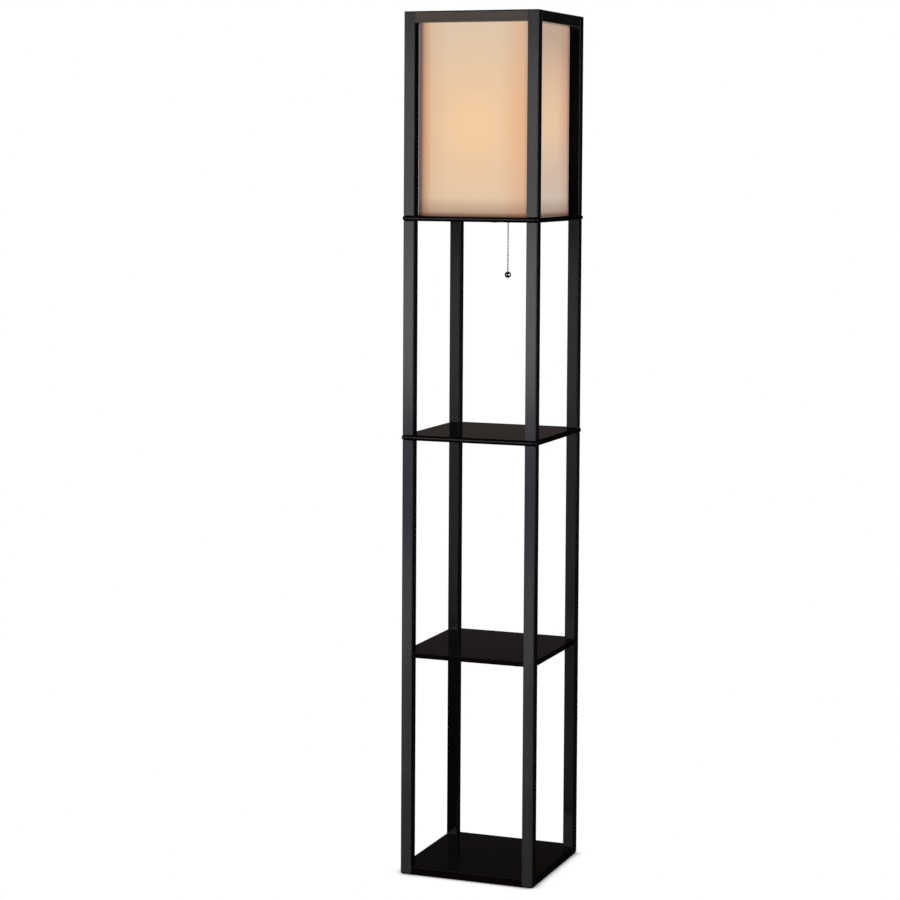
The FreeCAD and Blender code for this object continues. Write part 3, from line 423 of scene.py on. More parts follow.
@dataclass(frozen=True)
class Metal(Finish):
    """A metal or plated surface: turned, drawn or barrel-plated, with fine marks in its polish."""

    light_hex: str
    dark_hex: str
    roughness: float
    grit_mm: float = 0.6
    tarnish: float = 0.5
    mark_depth_mm: float = 0.004
    patch_size: float = 12.0
    polish: tuple[float, float] = (0.8, 1.25)

    def paint(self, tree: bpy.types.NodeTree, shader: bpy.types.Node) -> None:
        """Feeds the shader with a mottled polish."""
        cells = 1 / (self.grit_mm * MM)
        fine = add_node(tree, "TexNoise", inputs={
            "Vector": self.place(tree, (cells, cells, cells * 3)), "Scale": 1.0, "Detail": 4.0})
        broad = cells / self.patch_size
        patch = add_node(tree, "TexNoise", inputs={
            "Vector": self.place(tree, (broad, broad, broad)), "Scale": 1.0, "Detail": 2.0})
        share = add_node(tree, "Math", {"operation": "MULTIPLY"}, {
            0: patch.outputs["Fac"], 1: self.tarnish})
        colour = add_node(tree, "Mix", {"data_type": "RGBA"}, {
            "Factor": share.outputs[0], "A": linear(self.light_hex),
            "B": linear(self.dark_hex)})
        rough = add_node(tree, "MapRange", inputs={
            "Value": fine.outputs["Fac"], "From Min": NOISE_LOW, "From Max": NOISE_HIGH,
            "To Min": self.roughness * self.polish[0],
            "To Max": self.roughness * self.polish[1]})
        feed(shader, {"Base Color": colour.outputs["Result"],
                      "Roughness": rough.outputs["Result"], "Metallic": 1.0})
        self.bump(tree, shader, fine.outputs["Fac"], self.mark_depth_mm, 0.5)


@dataclass(frozen=True)
class Coating(Finish):
    """A coloured non-metal skin: powder coat, phenolic moulding, pressboard or black glass."""

    colour_hex: str
    fleck_hex: str
    roughness: float
    grit_mm: float
    depth_mm: float
    fleck_band: tuple[float, float] = (0.45, 0.75)
    polish: tuple[float, float] = (0.85, 1.15)

    def paint(self, tree: bpy.types.NodeTree, shader: bpy.types.Node) -> None:
        """Feeds the shader with a fine orange peel and flecks."""
        cells = 1 / (self.grit_mm * MM)
        peel = add_node(tree, "TexNoise", inputs={
            "Vector": self.place(tree, (cells, cells, cells)), "Scale": 1.0, "Detail": 3.0})
        flecks = add_node(tree, "MapRange", inputs={
            "Value": peel.outputs["Fac"], "From Min": self.fleck_band[0],
            "From Max": self.fleck_band[1]})
        colour = add_node(tree, "Mix", {"data_type": "RGBA"}, {
            "Factor": flecks.outputs["Result"], "A": linear(self.colour_hex),
            "B": linear(self.fleck_hex)})
        rough = add_node(tree, "MapRange", inputs={
            "Value": peel.outputs["Fac"], "To Min": self.roughness * self.polish[0],
            "To Max": self.roughness * self.polish[1]})
        feed(shader, {"Base Color": colour.outputs["Result"],
                      "Roughness": rough.outputs["Result"]})
        self.bump(tree, shader, peel.outputs["Fac"], self.depth_mm, 0.7)


@dataclass(frozen=True)
class FrostedGlass(Finish):
    """Bulb glass with an inner frost. The bulb is on, so the whole globe glows evenly."""

    glow_hex: str = "#ffd9a8"
    glass_hex: str = "#f4efe6"
    strength: float = 6.0
    frost_cells: float = 900.0

    def paint(self, tree: bpy.types.NodeTree, shader: bpy.types.Node) -> None:
        """Feeds the shader with an even glow and a fine frost."""
        coordinates = add_node(tree, "TexCoord")
        frost = add_node(tree, "TexNoise", inputs={
            "Vector": coordinates.outputs["Object"], "Scale": self.frost_cells, "Detail": 2.0})
        rough = add_node(tree, "MapRange", inputs={
            "Value": frost.outputs["Fac"], "To Min": 0.35, "To Max": 0.5})
        feed(shader, {"Base Color": linear(self.glass_hex), "Roughness": rough.outputs["Result"],
                      "Emission Color": linear(self.glow_hex), "Emission Strength": self.strength})
        self.bump(tree, shader, frost.outputs["Fac"], 0.01, 0.3)


@dataclass(frozen=True)
class PressedFelt(Finish):
    """Pressed wool felt on the feet: matt, with short tangled fibres."""

    felt_hex: str = "#2b2a29"
    fibre_hex: str = "#48464a"
    fibre_cells: float = 1500.0

    def paint(self, tree: bpy.types.NodeTree, shader: bpy.types.Node) -> None:
        """Feeds the shader with fibres."""
        fibres = add_node(tree, "TexNoise", inputs={
            "Vector": self.place(tree, (self.fibre_cells,) * 3), "Scale": 1.0, "Detail": 4.0,
            "Distortion": 1.5})
        colour = add_node(tree, "Mix", {"data_type": "RGBA"}, {
            "Factor": fibres.outputs["Fac"], "A": linear(self.felt_hex),
            "B": linear(self.fibre_hex)})
        feed(shader, {"Base Color": colour.outputs["Result"], "Roughness": 1.0,
                      "Sheen Weight": 0.4})
        self.bump(tree, shader, fibres.outputs["Fac"], 0.2, 0.8)


@dataclass(frozen=True)
class StudioPaper(Finish):
    """Seamless paper, lit evenly to white, with a soft shade only where the lamp stands on it.

    It is white to the camera alone. The lamp's gloss sees it almost black, and it lights nothing.
    """

    paper_hex: str = WHITE
    contact_mm: float = 32.0
    seen_in_gloss: float = 0.01
    shade_from: float = 0.3
    shade_to: float = 0.9

    def paint(self, tree: bpy.types.NodeTree, shader: bpy.types.Node) -> None:
        """Feeds the shader with an even white that darkens in the nook under the base."""
        openness = add_node(tree, "AmbientOcclusion", {"samples": 12}, {
            "Distance": self.contact_mm * MM})
        to_eye = add_node(tree, "MapRange", {"interpolation_type": "SMOOTHSTEP"}, {
            "Value": openness.outputs["AO"], "From Min": self.shade_from,
            "From Max": self.shade_to})
        path = add_node(tree, "LightPath")
        strength = add_node(tree, "MapRange", inputs={
            "Value": path.outputs["Is Camera Ray"], "To Min": self.seen_in_gloss,
            "To Max": to_eye.outputs["Result"]})
        feed(shader, {"Base Color": (0.0, 0.0, 0.0, 1.0), "Roughness": 1.0,
                      "Specular IOR Level": 0.0, "Emission Color": linear(self.paper_hex),
                      "Emission Strength": strength.outputs["Result"]})


def dress(node_name: str, finish: bpy.types.Material) -> None:
    """Gives a CAD node one finish all over."""
    slots = frame["nodes"][node_name].material_slots
    for slot in slots:
        slot.material = finish


# ---- mesh helpers

def deselect_all() -> None:
    """Leaves nothing selected, so that an operator acts on what comes next alone."""
    if bpy.context.mode != "OBJECT":
        bpy.ops.object.mode_set(mode="OBJECT")
    bpy.ops.object.select_all(action="DESELECT")


def edit_all(action: str = "SELECT") -> None:
    """Goes into edit mode on the object that was just added, with all or none of it selected."""
    bpy.ops.object.mode_set(mode="EDIT")
    bpy.ops.mesh.select_all(action=action)


def name_new(name: str) -> bpy.types.Object:
    """Names the object that was just added, and puts its place into its mesh."""
    piece = bpy.context.view_layer.objects.active
    piece.name = piece.data.name = name
    bpy.ops.object.transform_apply(location=True, rotation=True, scale=True)
    return piece


def smooth(piece: bpy.types.Object, degrees: float = 35.0) -> None:
    """Shades a piece smooth, but keeps edges sharper than an angle."""
    deselect_all()
    piece.select_set(True)
    bpy.context.view_layer.objects.active = piece
    bpy.ops.object.shade_smooth_by_angle(angle=math.radians(degrees))


def copy_to(model: bpy.types.Object, place: Matrix) -> bpy.types.Object:
    """Copies a modelled piece, with a mesh of its own.

    Args:
        model: The piece, modelled round the origin.
        place: Where the copy goes, and how it is turned.

    Returns:
        The copy.
    """
    piece = model.copy()
    piece.data = model.data.copy()
    bpy.context.scene.collection.objects.link(piece)
    piece.matrix_world = place
    return piece


def join(pieces: list[bpy.types.Object], name: str) -> bpy.types.Object:
    """Makes one object of several, with their places in its mesh.

    Args:
        pieces: The objects, of which the first keeps its materials.
        name: The name of the whole.

    Returns:
        The joined object.
    """
    deselect_all()
    for piece in pieces:
        piece.select_set(True)
    bpy.context.view_layer.objects.active = pieces[0]
    bpy.ops.object.join()
    return name_new(name)


def finish_piece(piece: bpy.types.Object, finish: bpy.types.Material, slot: str, body: str,
                 *nodes: str) -> None:
    """Dresses a modelled piece and fastens it to its body.

    Args:
        piece: The piece, in place.
        finish: Its material.
        slot: The record's material slot, which is not used.
        body: The body that it rides on.
        nodes: The CAD nodes that it stands for.
    """
    piece.data.materials.clear()
    piece.data.materials.append(finish)
    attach(piece, body)
    if nodes:
        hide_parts(*nodes)
    LOG.info("made %s on %s", piece.name, body)


# ---- the wooden frame

@dataclass
class WoodFrame:
    """Posts, rails and boards, which keep their CAD shapes and get stained-wood finishes, the
    rails' with a painted warm light.
    """

    post_stain: str = "#353333"
    post_streak: str = "#3e3c3c"
    # The rails are stained lighter and warmer than the posts: a painted warm light from the shade.
    rail_stain_and_glow: str = "#443d38"
    rail_streak_and_glow: str = "#524943"
    board_stain: str = "#070404"
    board_streak: str = "#120b0a"

    def build(self) -> None:
        """Dresses every wooden node by what it is and which way its grain runs."""
        post = StainedWood(
            "charcoal_stained_post", self.post_stain, self.post_streak, Axis.Z).material()
        board = StainedWood("espresso_stained_board", self.board_stain, self.board_streak, Axis.X,
                            roughness=0.15, streak_width_mm=2.2).material()
        rails = {
            axis: StainedWood(name, self.rail_stain_and_glow, self.rail_streak_and_glow, axis).material()
            for axis, name in ((Axis.X, "stained_glow_lit_rail_across"), (Axis.Y, "stained_glow_lit_rail_deep"))
        }
        for name in frame["nodes"]:
            if name.endswith("_post"):
                dress(name, post)
            elif name.endswith("_top_rail"):
                dress(name, rails[Axis.X if name.startswith(("front", "back")) else Axis.Y])
        for name in BOARDS:
            dress(name, board)
        dress("rail_dowels", PlainWood("beech_dowel", grain=Axis.X).material())
        dress("foot_pads", PressedFelt("pressed_felt_pad").material())
        LOG.info("dressed the wooden frame")


# ---- the shade

@dataclass
class Shade:
    """Four laminated cloth panels on an inner frame of sticks, hung from a flat metal flange."""

    grid_rows: int = 24
    slack_mm: float = 0.25
    waves_across: int = 5
    waves_up: int = 3
    cloth_mm: float = 0.5

    def build(self) -> None:
        """Makes the panels and dresses what carries them."""
        # The glow's middle lies two thirds of the way up the bulb's glass.
        bulb_low, bulb_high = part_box("bulb_glass")
        low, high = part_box("shade_front_panel")
        cloth = LaminatedLinen(
            "laminated_linen", bulb_height=(bulb_low.z + 2 * bulb_high.z) / 3,
            width=high.x - low.x, height=high.z - low.z).material()
        for number, side in enumerate(SIDES):
            self.make_panel(side, 90 * number, cloth)
        stick_wood = PlainWood("planed_spruce_stick", "#cfb78f", "#b39767").material()
        dress("shade_uprights", stick_wood)
        dress("shade_cross_sticks", stick_wood)
        dress("shade_flange", Coating(
            "black_powder_coat", "#0f0f10", "#1c1c1e", 0.45, 0.5, 0.01).material())

    def make_panel(self, side: str, turn: int, cloth: bpy.types.Material) -> None:
        """Makes one stretched panel of cloth in the space that its CAD solid holds.

        Args:
            side: Which side of the shade it is on.
            turn: Degrees from the front to that side.
            cloth: The cloth's finish.
        """
        node = f"shade_{side}_panel"
        low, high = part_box(node)
        width = max(high.x - low.x, high.y - low.y)
        height = high.z - low.z
        middle = (low + high) / 2
        deselect_all()
        bpy.ops.mesh.primitive_grid_add(
            x_subdivisions=self.grid_rows, y_subdivisions=int(self.grid_rows * height / width),
            size=1.0, location=(0, 0, 0))
        edit_all()
        bpy.ops.transform.resize(value=(width, height, 1.0))
        bpy.ops.object.mode_set(mode="OBJECT")
        panel = bpy.context.view_layer.objects.active
        self.pull_taut(panel, width, height)
        upright = Matrix.Rotation(math.radians(90), 4, "X")
        facing = Matrix.Rotation(math.radians(turn), 4, "Z")
        panel.matrix_world = Matrix.Translation(middle) @ facing @ upright
        panel = name_new(f"shade_{side}_cloth")
        solidify = panel.modifiers.new("thickness", "SOLIDIFY")
        solidify.thickness = self.cloth_mm * MM
        solidify.offset = 0.0
        bpy.ops.object.modifier_apply(modifier=solidify.name)
        smooth(panel)
        panel.visible_diffuse = False
        finish_piece(panel, cloth, "shade_cloth", "stand", node)

    def pull_taut(self, panel: bpy.types.Object, width: float, height: float) -> None:
        """Gives a flat panel the faint hollows that cloth has between the sticks that hold it."""
        for point in panel.data.vertices:
            across, up = point.co.x / width, point.co.y / height
            held = math.cos(math.pi * across) * math.cos(math.pi * up)
            ripple = (math.sin(self.waves_across * math.pi * across + 1.3)
                      * math.cos(self.waves_up * math.pi * up + 0.4))
            point.co.z -= self.slack_mm * MM * held * (0.4 + 0.25 * ripple)


# ---- screws

@dataclass
class Screws:
    """Countersunk screws with a cross recess, in the flange and under the base."""

    head_radius_mm: float
    shank_radius_mm: float
    head_mm: float
    length_mm: float
    sides: int = 24
    point_share: float = 0.15
    cross_turn: float = 20.0
    cross_reach: float = 0.62
    cross_width: float = 0.2
    cross_depth: float = 0.8
    tip_reach: float = 0.35
    tip_width: float = 0.8

    def make_one(self) -> bpy.types.Object:
        """Models one screw, with the middle of its face at the origin and its shank downwards.

        Returns:
            The screw: a turned blank whose face is sunk by a cross.
        """
        deselect_all()
        bpy.ops.mesh.primitive_circle_add(
            vertices=self.sides, radius=self.head_radius_mm * MM, fill_type="NGON")
        edit_all()
        rings = ((-self.head_mm, self.shank_radius_mm / self.head_radius_mm),
                 (self.head_mm + self.shank_radius_mm - self.length_mm, 1.0),
                 (-self.shank_radius_mm, self.point_share))
        for drop, shrink in rings:
            bpy.ops.mesh.extrude_region_move(TRANSFORM_OT_translate={"value": (0, 0, drop * MM)})
            bpy.ops.transform.resize(value=(shrink, shrink, 1.0))
        bpy.ops.mesh.select_all(action="SELECT")
        bpy.ops.mesh.normals_make_consistent(inside=False)
        bpy.ops.object.mode_set(mode="OBJECT")
        screw = bpy.context.view_layer.objects.active
        self.cut_cross(screw)
        return screw

    def make_set(self, name: str, places: list[Vector], points_up: bool) -> bpy.types.Object:
        """Models one screw and sets copies of it.

        Args:
            name: The name of the set.
            places: The middles of the heads' faces.
            points_up: Whether the shanks go up from the heads.

        Returns:
            The set as one object.
        """
        model = self.make_one()
        turn = Matrix.Rotation(math.pi if points_up else 0.0, 4, "X")
        whole = join([copy_to(model, Matrix.Translation(spot) @ turn) for spot in places], name)
        bpy.data.objects.remove(model)
        smooth(whole)
        return whole

    def cut_cross(self, screw: bpy.types.Object) -> None:
        """Cuts the cross recess with a tapered cross-shaped tool."""
        reach = self.cross_reach * self.head_radius_mm
        width = self.cross_width * self.head_radius_mm
        depth = self.cross_depth * self.head_mm
        arms = []
        for turn in (0, 90):
            deselect_all()
            bpy.ops.mesh.primitive_cube_add(size=2.0, location=(0, 0, 0))
            edit_all()
            bpy.ops.transform.resize(value=(reach * MM, width * MM, depth * MM))
            bpy.ops.object.mode_set(mode="OBJECT")
            arm = bpy.context.view_layer.objects.active
            for point in arm.data.vertices:
                if point.co.z < 0:
                    point.co.x *= self.tip_reach
                    point.co.y *= self.tip_width
            arm.rotation_euler.z = math.radians(turn + self.cross_turn)
            arms.append(arm)
        for arm in arms:
            deselect_all()
            screw.select_set(True)
            bpy.context.view_layer.objects.active = screw
            cut = screw.modifiers.new("cross", "BOOLEAN")
            cut.operation = "DIFFERENCE"
            cut.object = arm
            bpy.ops.object.modifier_apply(modifier=cut.name)
            bpy.data.objects.remove(arm)


def make_screws(finishes: dict[str, bpy.types.Material]) -> None:
    """Replaces the plain screws that show with ones that have a recess.

    Args:
        finishes: The screws' materials by name.
    """
    top = Screws(head_radius_mm=3.5, shank_radius_mm=1.5, head_mm=2.0, length_mm=14.0)
    base = Screws(head_radius_mm=4.0, shank_radius_mm=2.0, head_mm=2.0, length_mm=34.0)
    sets = (
        ("flange_screws", top, ((0, -1), (1, 0), (0, 1), (-1, 0)), False, "black", "flange_metal"),
        ("base_screws", base, ((-1, -1), (-1, 1), (1, -1), (1, 1)), True, "zinc", "screw_steel"))
    for node, kind, corners, points_up, finish, slot in sets:
        low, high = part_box(node)
        reach = (high.x - low.x) / 2 - kind.head_radius_mm * MM
        face = low.z if points_up else high.z
        places = [Vector((reach * x, reach * y, face)) for x, y in corners]
        finish_piece(kind.make_set(node + "_recessed", places, points_up), finishes[finish],
                     slot, "stand", node)


# ---- the pull chain

@dataclass
class PullChain:
    """The beaded chain in two runs, with hollow beads rolled from strip round a plain wire."""

    rings: int = 14
    segments: int = 18
    seam_mm: float = 0.12
    wire_sides: int = 12
    wire_radius_mm: float = 0.45
    wire_edge_mm: float = 0.1
    pitch_mm: float = 4.3
    stop_radius_mm: float = 2.0
    wire_over_stop_mm: float = 2.2
    stop_link_mm: float = 8.0

    def build(self, nickel: bpy.types.Material) -> None:
        """Models both runs of beads over their CAD solids.

        Args:
            nickel: The chain's finish.
        """
        swivel_low, swivel_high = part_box("chain_swivel_bead")
        radius = (swivel_high.x - swivel_low.x) / 2
        middle = (swivel_low + swivel_high) / 2
        for name, body in (("upper_pull_chain", "chain_top"), ("lower_pull_chain", "chain_end")):
            low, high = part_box(name)
            self.make_run(name, body, low.z, high.z, middle, radius, nickel)
        for name in ("chain_swivel_bead", "chain_connector", "pull_ball"):
            dress(name, nickel)

    def make_run(self, name: str, body: str, foot: float, head: float, middle: Vector,
                 radius: float, nickel: bpy.types.Material) -> None:
        """Models one run: its wire, then its beads from the swivel outwards.

        Args:
            name: The CAD node that it stands for.
            body: The body that it rides on.
            foot: The height of its lower end.
            head: The height of its upper end.
            middle: The middle of the swivel bead.
            radius: The radius of a bead.
            nickel: Its finish.
        """
        upper = head > middle.z
        stop_height = head - self.wire_over_stop_mm * MM
        if upper:
            run_length = stop_height - self.stop_link_mm * MM - middle.z
        else:
            run_length = middle.z - foot - radius
        step = self.pitch_mm * MM * (1 if upper else -1)
        count = round(run_length / abs(step))
        heights = [middle.z + step * number for number in range(1, count + 1)]
        bead = self.make_bead(radius)
        pieces = [copy_to(bead, Matrix.Translation((middle.x, middle.y, z))) for z in heights]
        if upper:
            larger = Matrix.Scale(self.stop_radius_mm * MM / radius, 4)
            top = Matrix.Translation((middle.x, middle.y, stop_height))
            pieces.append(copy_to(bead, top @ larger))
        bpy.data.objects.remove(bead)
        pieces.append(self.make_wire(middle, foot, head))
        run = join(pieces, name + "_beads")
        smooth(run, degrees=60)
        finish_piece(run, nickel, "chain_metal", body, name)

    def make_bead(self, radius: float) -> bpy.types.Object:
        """Models a bead round the origin, with the fine seam where its strip was rolled shut."""
        deselect_all()
        bpy.ops.mesh.primitive_uv_sphere_add(
            segments=self.segments, ring_count=self.rings, radius=radius)
        bead = bpy.context.view_layer.objects.active
        edit_all("DESELECT")
        bpy.ops.object.mode_set(mode="OBJECT")
        for edge in bead.data.edges:
            ends = [bead.data.vertices[index].co for index in edge.vertices]
            edge.select = all(abs(end.y) < 0.001 * MM and end.x < 0 for end in ends)
        bpy.ops.object.mode_set(mode="EDIT")
        bpy.ops.mesh.select_mode(type="EDGE")
        bpy.ops.mesh.bevel(offset=self.seam_mm * MM, segments=2, affect="EDGES")
        bpy.ops.object.mode_set(mode="OBJECT")
        return bead

    def make_wire(self, middle: Vector, foot: float, head: float) -> bpy.types.Object:
        """Models the wire that the beads of one run are strung on."""
        deselect_all()
        bpy.ops.mesh.primitive_cylinder_add(
            vertices=self.wire_sides, radius=self.wire_radius_mm * MM, depth=head - foot,
            location=(middle.x, middle.y, (head + foot) / 2))
        wire = bpy.context.view_layer.objects.active
        edit_all()
        bpy.ops.mesh.bevel(offset=self.wire_edge_mm * MM, segments=1, affect="EDGES")
        bpy.ops.object.mode_set(mode="OBJECT")
        return wire


# ---- lampholder and bulb

@dataclass
class Lampholder:
    """The brass lampholder, its mechanism and its bulb, which keep their CAD shapes."""

    def build(self, finishes: dict[str, bpy.types.Material]) -> None:
        """Dresses every node of the lampholder and the bulb.

        Args:
            finishes: Shared materials by name.
        """
        dressed = {
            "brass": ("lampholder_cap", "lampholder_shell", "lampholder_nipple",
                      "lampholder_stem", "chain_bush", "thread_shell", "centre_contact",
                      "pull_arm"),
            "steel": ("arm_pin", "arm_return_spring", "bulb_contact"),
            "zinc": ("nipple_washer", "nipple_locknut", "post_joint_screws"),
            "phenolic": ("switch_block", "cord_inlet_bush"),
            "pressboard": ("lampholder_liner",),
            "aluminium": ("bulb_screw_cap",),
            "black_glass": ("bulb_insulator",),
            "frost": ("bulb_glass",),
        }
        for finish, names in dressed.items():
            for name in names:
                dress(name, finishes[finish])
        LOG.info("dressed the lampholder")


def make_finishes() -> dict[str, bpy.types.Material]:
    """Makes the finishes of the small hardware.

    Returns:
        The materials by a short name.
    """
    return {
        "brass": Metal("satin_brass", "#c9a45c", "#8f6f38", 0.3, tarnish=0.6).material(),
        "steel": Metal("drawn_steel_wire", "#b9babd", "#85878b", 0.3).material(),
        "zinc": Metal("zinc_plated_steel", "#c3c6c9", "#8e949c", 0.35, grit_mm=0.4).material(),
        "black": Metal(
            "blackened_steel_screw", "#2c2c2e", "#151516", 0.42, grit_mm=0.4).material(),
        "nickel": Metal("nickel_plate", "#b3afa9", "#6f6a64", 0.13, grit_mm=0.8).material(),
        "aluminium": Metal("rolled_aluminium", "#d2d3d4", "#a6a8aa", 0.33, grit_mm=0.5).material(),
        "phenolic": Coating("phenolic_moulding", "#17110d", "#2c2018", 0.35, 0.8, 0.008).material(),
        "pressboard": Coating(
            "varnished_pressboard", "#6a4e31", "#86673f", 0.6, 0.7, 0.03).material(),
        "black_glass": Coating(
            "black_insulating_glass", "#070707", "#141414", 0.15, 1.5, 0.004).material(),
        "frost": FrostedGlass("frosted_bulb_glass").material(),
    }


# ---- studio

@dataclass
class Softbox:
    """One rectangular studio light."""

    name: str
    place: tuple[float, float, float]
    aim: tuple[float, float, float]
    width: float
    height: float
    watts: float
    tint: str = WHITE

    def build(self) -> bpy.types.Object:
        """Hangs the light where it points at its aim, and returns it."""
        lamp = bpy.data.lights.new(self.name, "AREA")
        lamp.shape = "RECTANGLE"
        lamp.size, lamp.size_y = self.width, self.height
        lamp.energy = self.watts
        lamp.color = linear(self.tint)[:3]
        light = bpy.data.objects.new(self.name, lamp)
        bpy.context.scene.collection.objects.link(light)
        light.location = self.place
        direction = Vector(self.aim) - Vector(self.place)
        light.rotation_euler = direction.to_track_quat("-Z", "Y").to_euler()
        return light


@dataclass
class Studio:
    """White paper, lights, and a camera worked out from the photograph's perspective."""

    camera_place: tuple[float, float, float] = (1.587, -4.3547, 1.3323)
    yaw: float = 21.03
    pitch: float = 3.489
    roll: float = 0.32
    focal_share: float = 2482.4 / 900
    rise_share: float = -140.35 / 900
    sensor_mm: float = 36.0
    sight: float = 60.0
    paper_size: float = 24.0
    surround: float = 0.008

    def build(self) -> None:
        """Sets up the floor, the lights, the world and the camera."""
        self.lay_paper()
        self.light_up()
        self.fill_world()
        self.stand_camera()
        bpy.context.scene.view_settings.view_transform = "Standard"
        LOG.info("set up the studio")

    def lay_paper(self) -> None:
        """Lays the paper that the lamp stands on."""
        deselect_all()
        bpy.ops.mesh.primitive_plane_add(size=self.paper_size, location=(0, 0, 0))
        paper = name_new("studio_paper")
        paper.data.materials.append(StudioPaper("studio_paper").material())
        paper.visible_diffuse = False

    def light_up(self) -> None:
        """Hangs a soft fill at the front left, and cards that the gloss mirrors.

        The right side and what lies behind it stay dark, so the sides that face right go nearly
        black at the photograph's angle. Most cards reach only some of the pieces: the front posts,
        the back posts and the small pull chain have cards of their own. The cloth glows by itself,
        and does not light the lamp posts.
        """
        posts = [node for name, node in frame["nodes"].items() if name.endswith("_post")]
        back = [post for post in posts if post.name.startswith("back")]
        back_right = [post for post in back if post.name.startswith("back_right")]
        boards = [frame["nodes"][name] for name in BOARDS]
        cloths = [bpy.data.objects[f"shade_{side}_cloth"] for side in SIDES]
        chain = [bpy.data.objects[name] for name in (
            "upper_pull_chain_beads", "lower_pull_chain_beads", "chain_swivel_bead",
            "chain_connector", "pull_ball")]
        groups = (
            ("EXCLUDE", back, (
                ("tall_card", (-1.3, -3.5, 1.11), (-1.3, 0, 1.11), 1.2, 1.18, 4.7, "#f8f8ff"),
                ("low_card", (-1.3, -3.49, 0.79), (-1.3, 0, 0.79), 1.2, 0.52, 1.97, "#f2f4ff"),
                ("blue_card", (-1.3, -3.5, 0.21), (-1.3, 0, 0.21), 1.2, 0.42, 0.75, "#8989ff"))),
            ("EXCLUDE", back + boards, (
                ("floor_card", (-1.05, -2.7, 0.01), (-1.05, -2.7, 1), 1.3, 1.6, 4.3),
                ("near_card", (-0.6, -1.3, 0.01), (-0.6, -1.3, 1), 1.2, 1.1, 0.8))),
            ("INCLUDE", back, (
                ("back_tall_card", (-1.3, -3.48, 0.8), (-1.3, 0, 0.8), 1.2, 0.66, 0.85),
                ("back_low_card", (-1.3, -3.47, 0.5), (-1.3, 0, 0.5), 1.2, 1.0, 1.7, "#eef0ff"),
                ("back_floor_card", (-1.05, -2.7, 0.02), (-1.05, -2.7, 1), 1.3, 1.6, 2.3))),
            ("INCLUDE", back_right, (
                ("back_right_card", (-0.25, -0.95, 0.02), (-0.25, -0.95, 1), 1.0, 1.6, 1.0),)),
            ("INCLUDE", chain, (
                ("chain_right_card", (2.3, -1.0, 1.3), (0, 0, 1.1), 1.7, 1.5, 62),
                ("chain_left_card", (-1.5, -2.0, 1.4), (0, 0, 1.1), 1.3, 1.4, 11))),
            ("EXCLUDE", [], (
                ("far_back", (-2.9, 8.0, 1.1), (0, 0, 1.1), 4.0, 2.0, 1.75, "#ffe2de"),
                ("right", (3.6, -2.0, 1.3), (0, 0, 1.1), 0.5, 0.8, 5))))
        for state, pieces, cards in groups:
            for card in cards:
                self.choose_receivers(Softbox(*card).build(), pieces, state)
        fill = Softbox("front_fill", (-1.0, -4.4, 2.6), (0, 0, 0.9), 2.0, 2.0, 170).build()
        fill.visible_glossy = False
        self.choose_receivers(fill, back + cloths, "EXCLUDE")
        lamp_posts = [post for post in posts if "_lamp_" in post.name]
        for cloth in cloths:
            self.choose_receivers(cloth, lamp_posts, "EXCLUDE")
        self.light_other_sides(posts, boards, chain + cloths)

    def light_other_sides(self, posts: list[bpy.types.Object], boards: list[bpy.types.Object],
                          spared: list[bpy.types.Object]) -> None:
        """Hangs cards and a fill for the sides that the photograph does not show.

        Only the gloss sees the cards, and they keep clear of what it mirrors at the photograph's
        angle.

        Args:
            posts: The posts.
            boards: The base and the shelves.
            spared: Pieces that none of the cards reach.
        """
        aim = (0, 0, 0.9)
        cards = (
            ("right_side_card", (3.6, 0.2, 0.9), aim, 1.8, 2.6, 10, True),
            ("front_right_card", (2.7, -2.7, 1.1), (0, 0, 1.1), 1.8, 2.6, 10, True),
            ("left_side_card", (-3.6, 0, 0.9), aim, 2.4, 2.6, 14, False),
            ("front_left_card", (-3.3, -3.0, 0.9), aim, 1.6, 2.6, 10, True),
            ("back_card", (0.0, 3.6, 0.9), aim, 1.2, 2.6, 8, False),
            ("back_right_side_card", (3.4, 3.3, 0.9), aim, 1.6, 2.6, 10, False))
        for *card, on_boards in cards:
            light = Softbox(*card).build()
            light.visible_diffuse = False
            self.choose_receivers(light, spared + ([] if on_boards else boards), "EXCLUDE")
        behind = Softbox("back_fill", (-3.2, 3.2, 2.6), aim, 2.0, 2.0, 150).build()
        behind.visible_glossy = False
        self.choose_receivers(behind, posts, "INCLUDE")

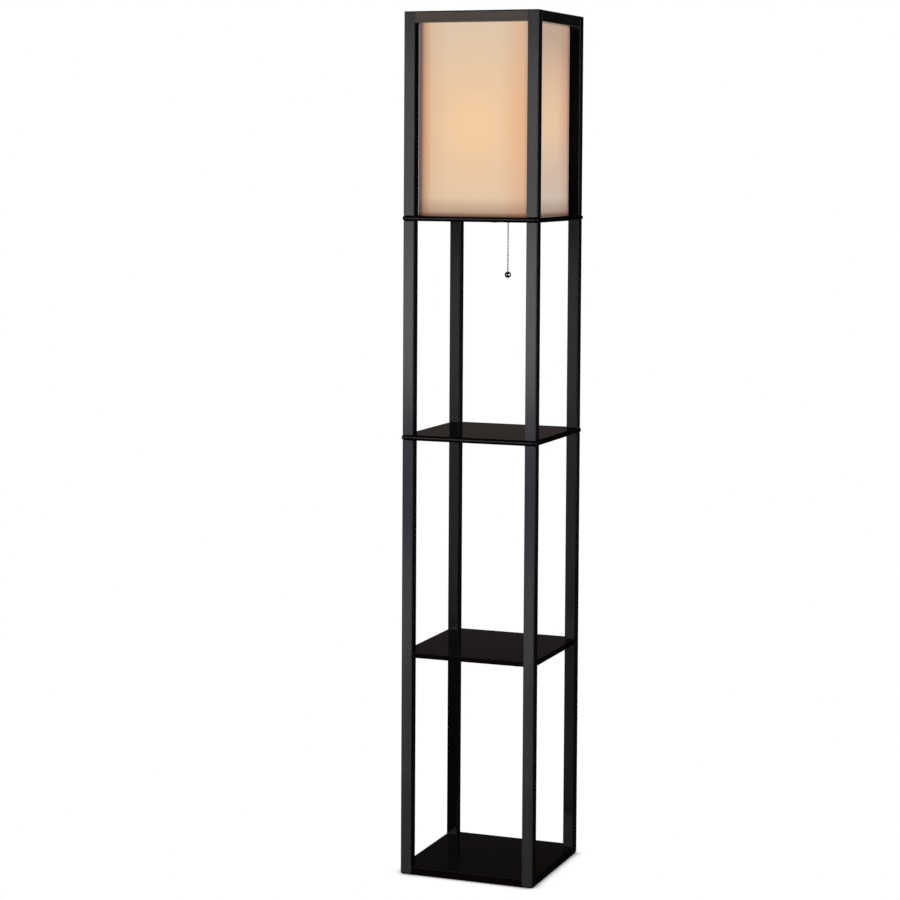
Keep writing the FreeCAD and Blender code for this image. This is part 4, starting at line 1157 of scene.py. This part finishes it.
    def choose_receivers(self, source: bpy.types.Object, pieces: list[bpy.types.Object],
                         state: str) -> None:
        """Keeps a light off some pieces, or on them alone.

        Args:
            source: The light, or a piece that glows.
            pieces: The pieces.
            state: "EXCLUDE" to keep it off them, or "INCLUDE" to keep it on them alone.
        """
        if not pieces:
            return
        group = bpy.data.collections.new(source.name + "_receivers")
        for piece in pieces:
            group.objects.link(piece)
        for member in group.collection_objects:
            member.light_linking.link_state = state
        source.light_linking.receiver_collection = group

    def fill_world(self) -> None:
        """Shows white behind the lamp, and gives it only a dim surround to reflect."""
        world = bpy.data.worlds.new("studio_surround")
        bpy.context.scene.world = world
        world.use_nodes = True
        tree = world.node_tree
        tree.nodes.clear()
        path = add_node(tree, "LightPath")
        strength = add_node(tree, "MapRange", inputs={
            "Value": path.outputs["Is Camera Ray"], "To Min": self.surround, "To Max": 1.0})
        light = add_node(tree, "Background", inputs={
            "Color": linear(WHITE), "Strength": strength.outputs["Result"]})
        add_node(tree, "OutputWorld", inputs={"Surface": light.outputs["Background"]})

    def stand_camera(self) -> None:
        """Stands the camera at the viewpoint worked out from the photograph's perspective."""
        yaw, pitch, roll = (math.radians(angle) for angle in (self.yaw, self.pitch, self.roll))
        level = Vector((-math.sin(yaw), math.cos(yaw), 0))
        sideways = Vector((math.cos(yaw), math.sin(yaw), 0))
        upright = Vector((0, 0, 1))
        forward = level * math.cos(pitch) - upright * math.sin(pitch)
        over = upright * math.cos(pitch) + level * math.sin(pitch)
        right = sideways * math.cos(roll) + over * math.sin(roll)
        up = over * math.cos(roll) - sideways * math.sin(roll)
        turn = Matrix((right, up, -forward)).transposed().to_4x4()
        lens = bpy.data.cameras.new("camera")
        lens.sensor_width = self.sensor_mm
        lens.lens = self.focal_share * self.sensor_mm
        lens.shift_y = self.rise_share
        lens.clip_end = self.sight
        camera = bpy.data.objects.new("camera", lens)
        bpy.context.scene.collection.objects.link(camera)
        camera.matrix_world = Matrix.Translation(self.camera_place) @ turn
        bpy.context.scene.camera = camera


# ---- the whole scene


def main() -> None:
    """Builds every sub-assembly in order."""
    logging.basicConfig(level=logging.INFO, format="%(message)s")
    finishes = make_finishes()
    WoodFrame().build()
    Shade().build()
    make_screws(finishes)
    Lampholder().build(finishes)
    PullChain().build(finishes["nickel"])
    Studio().build()


if __name__ == "__main__":
    main()
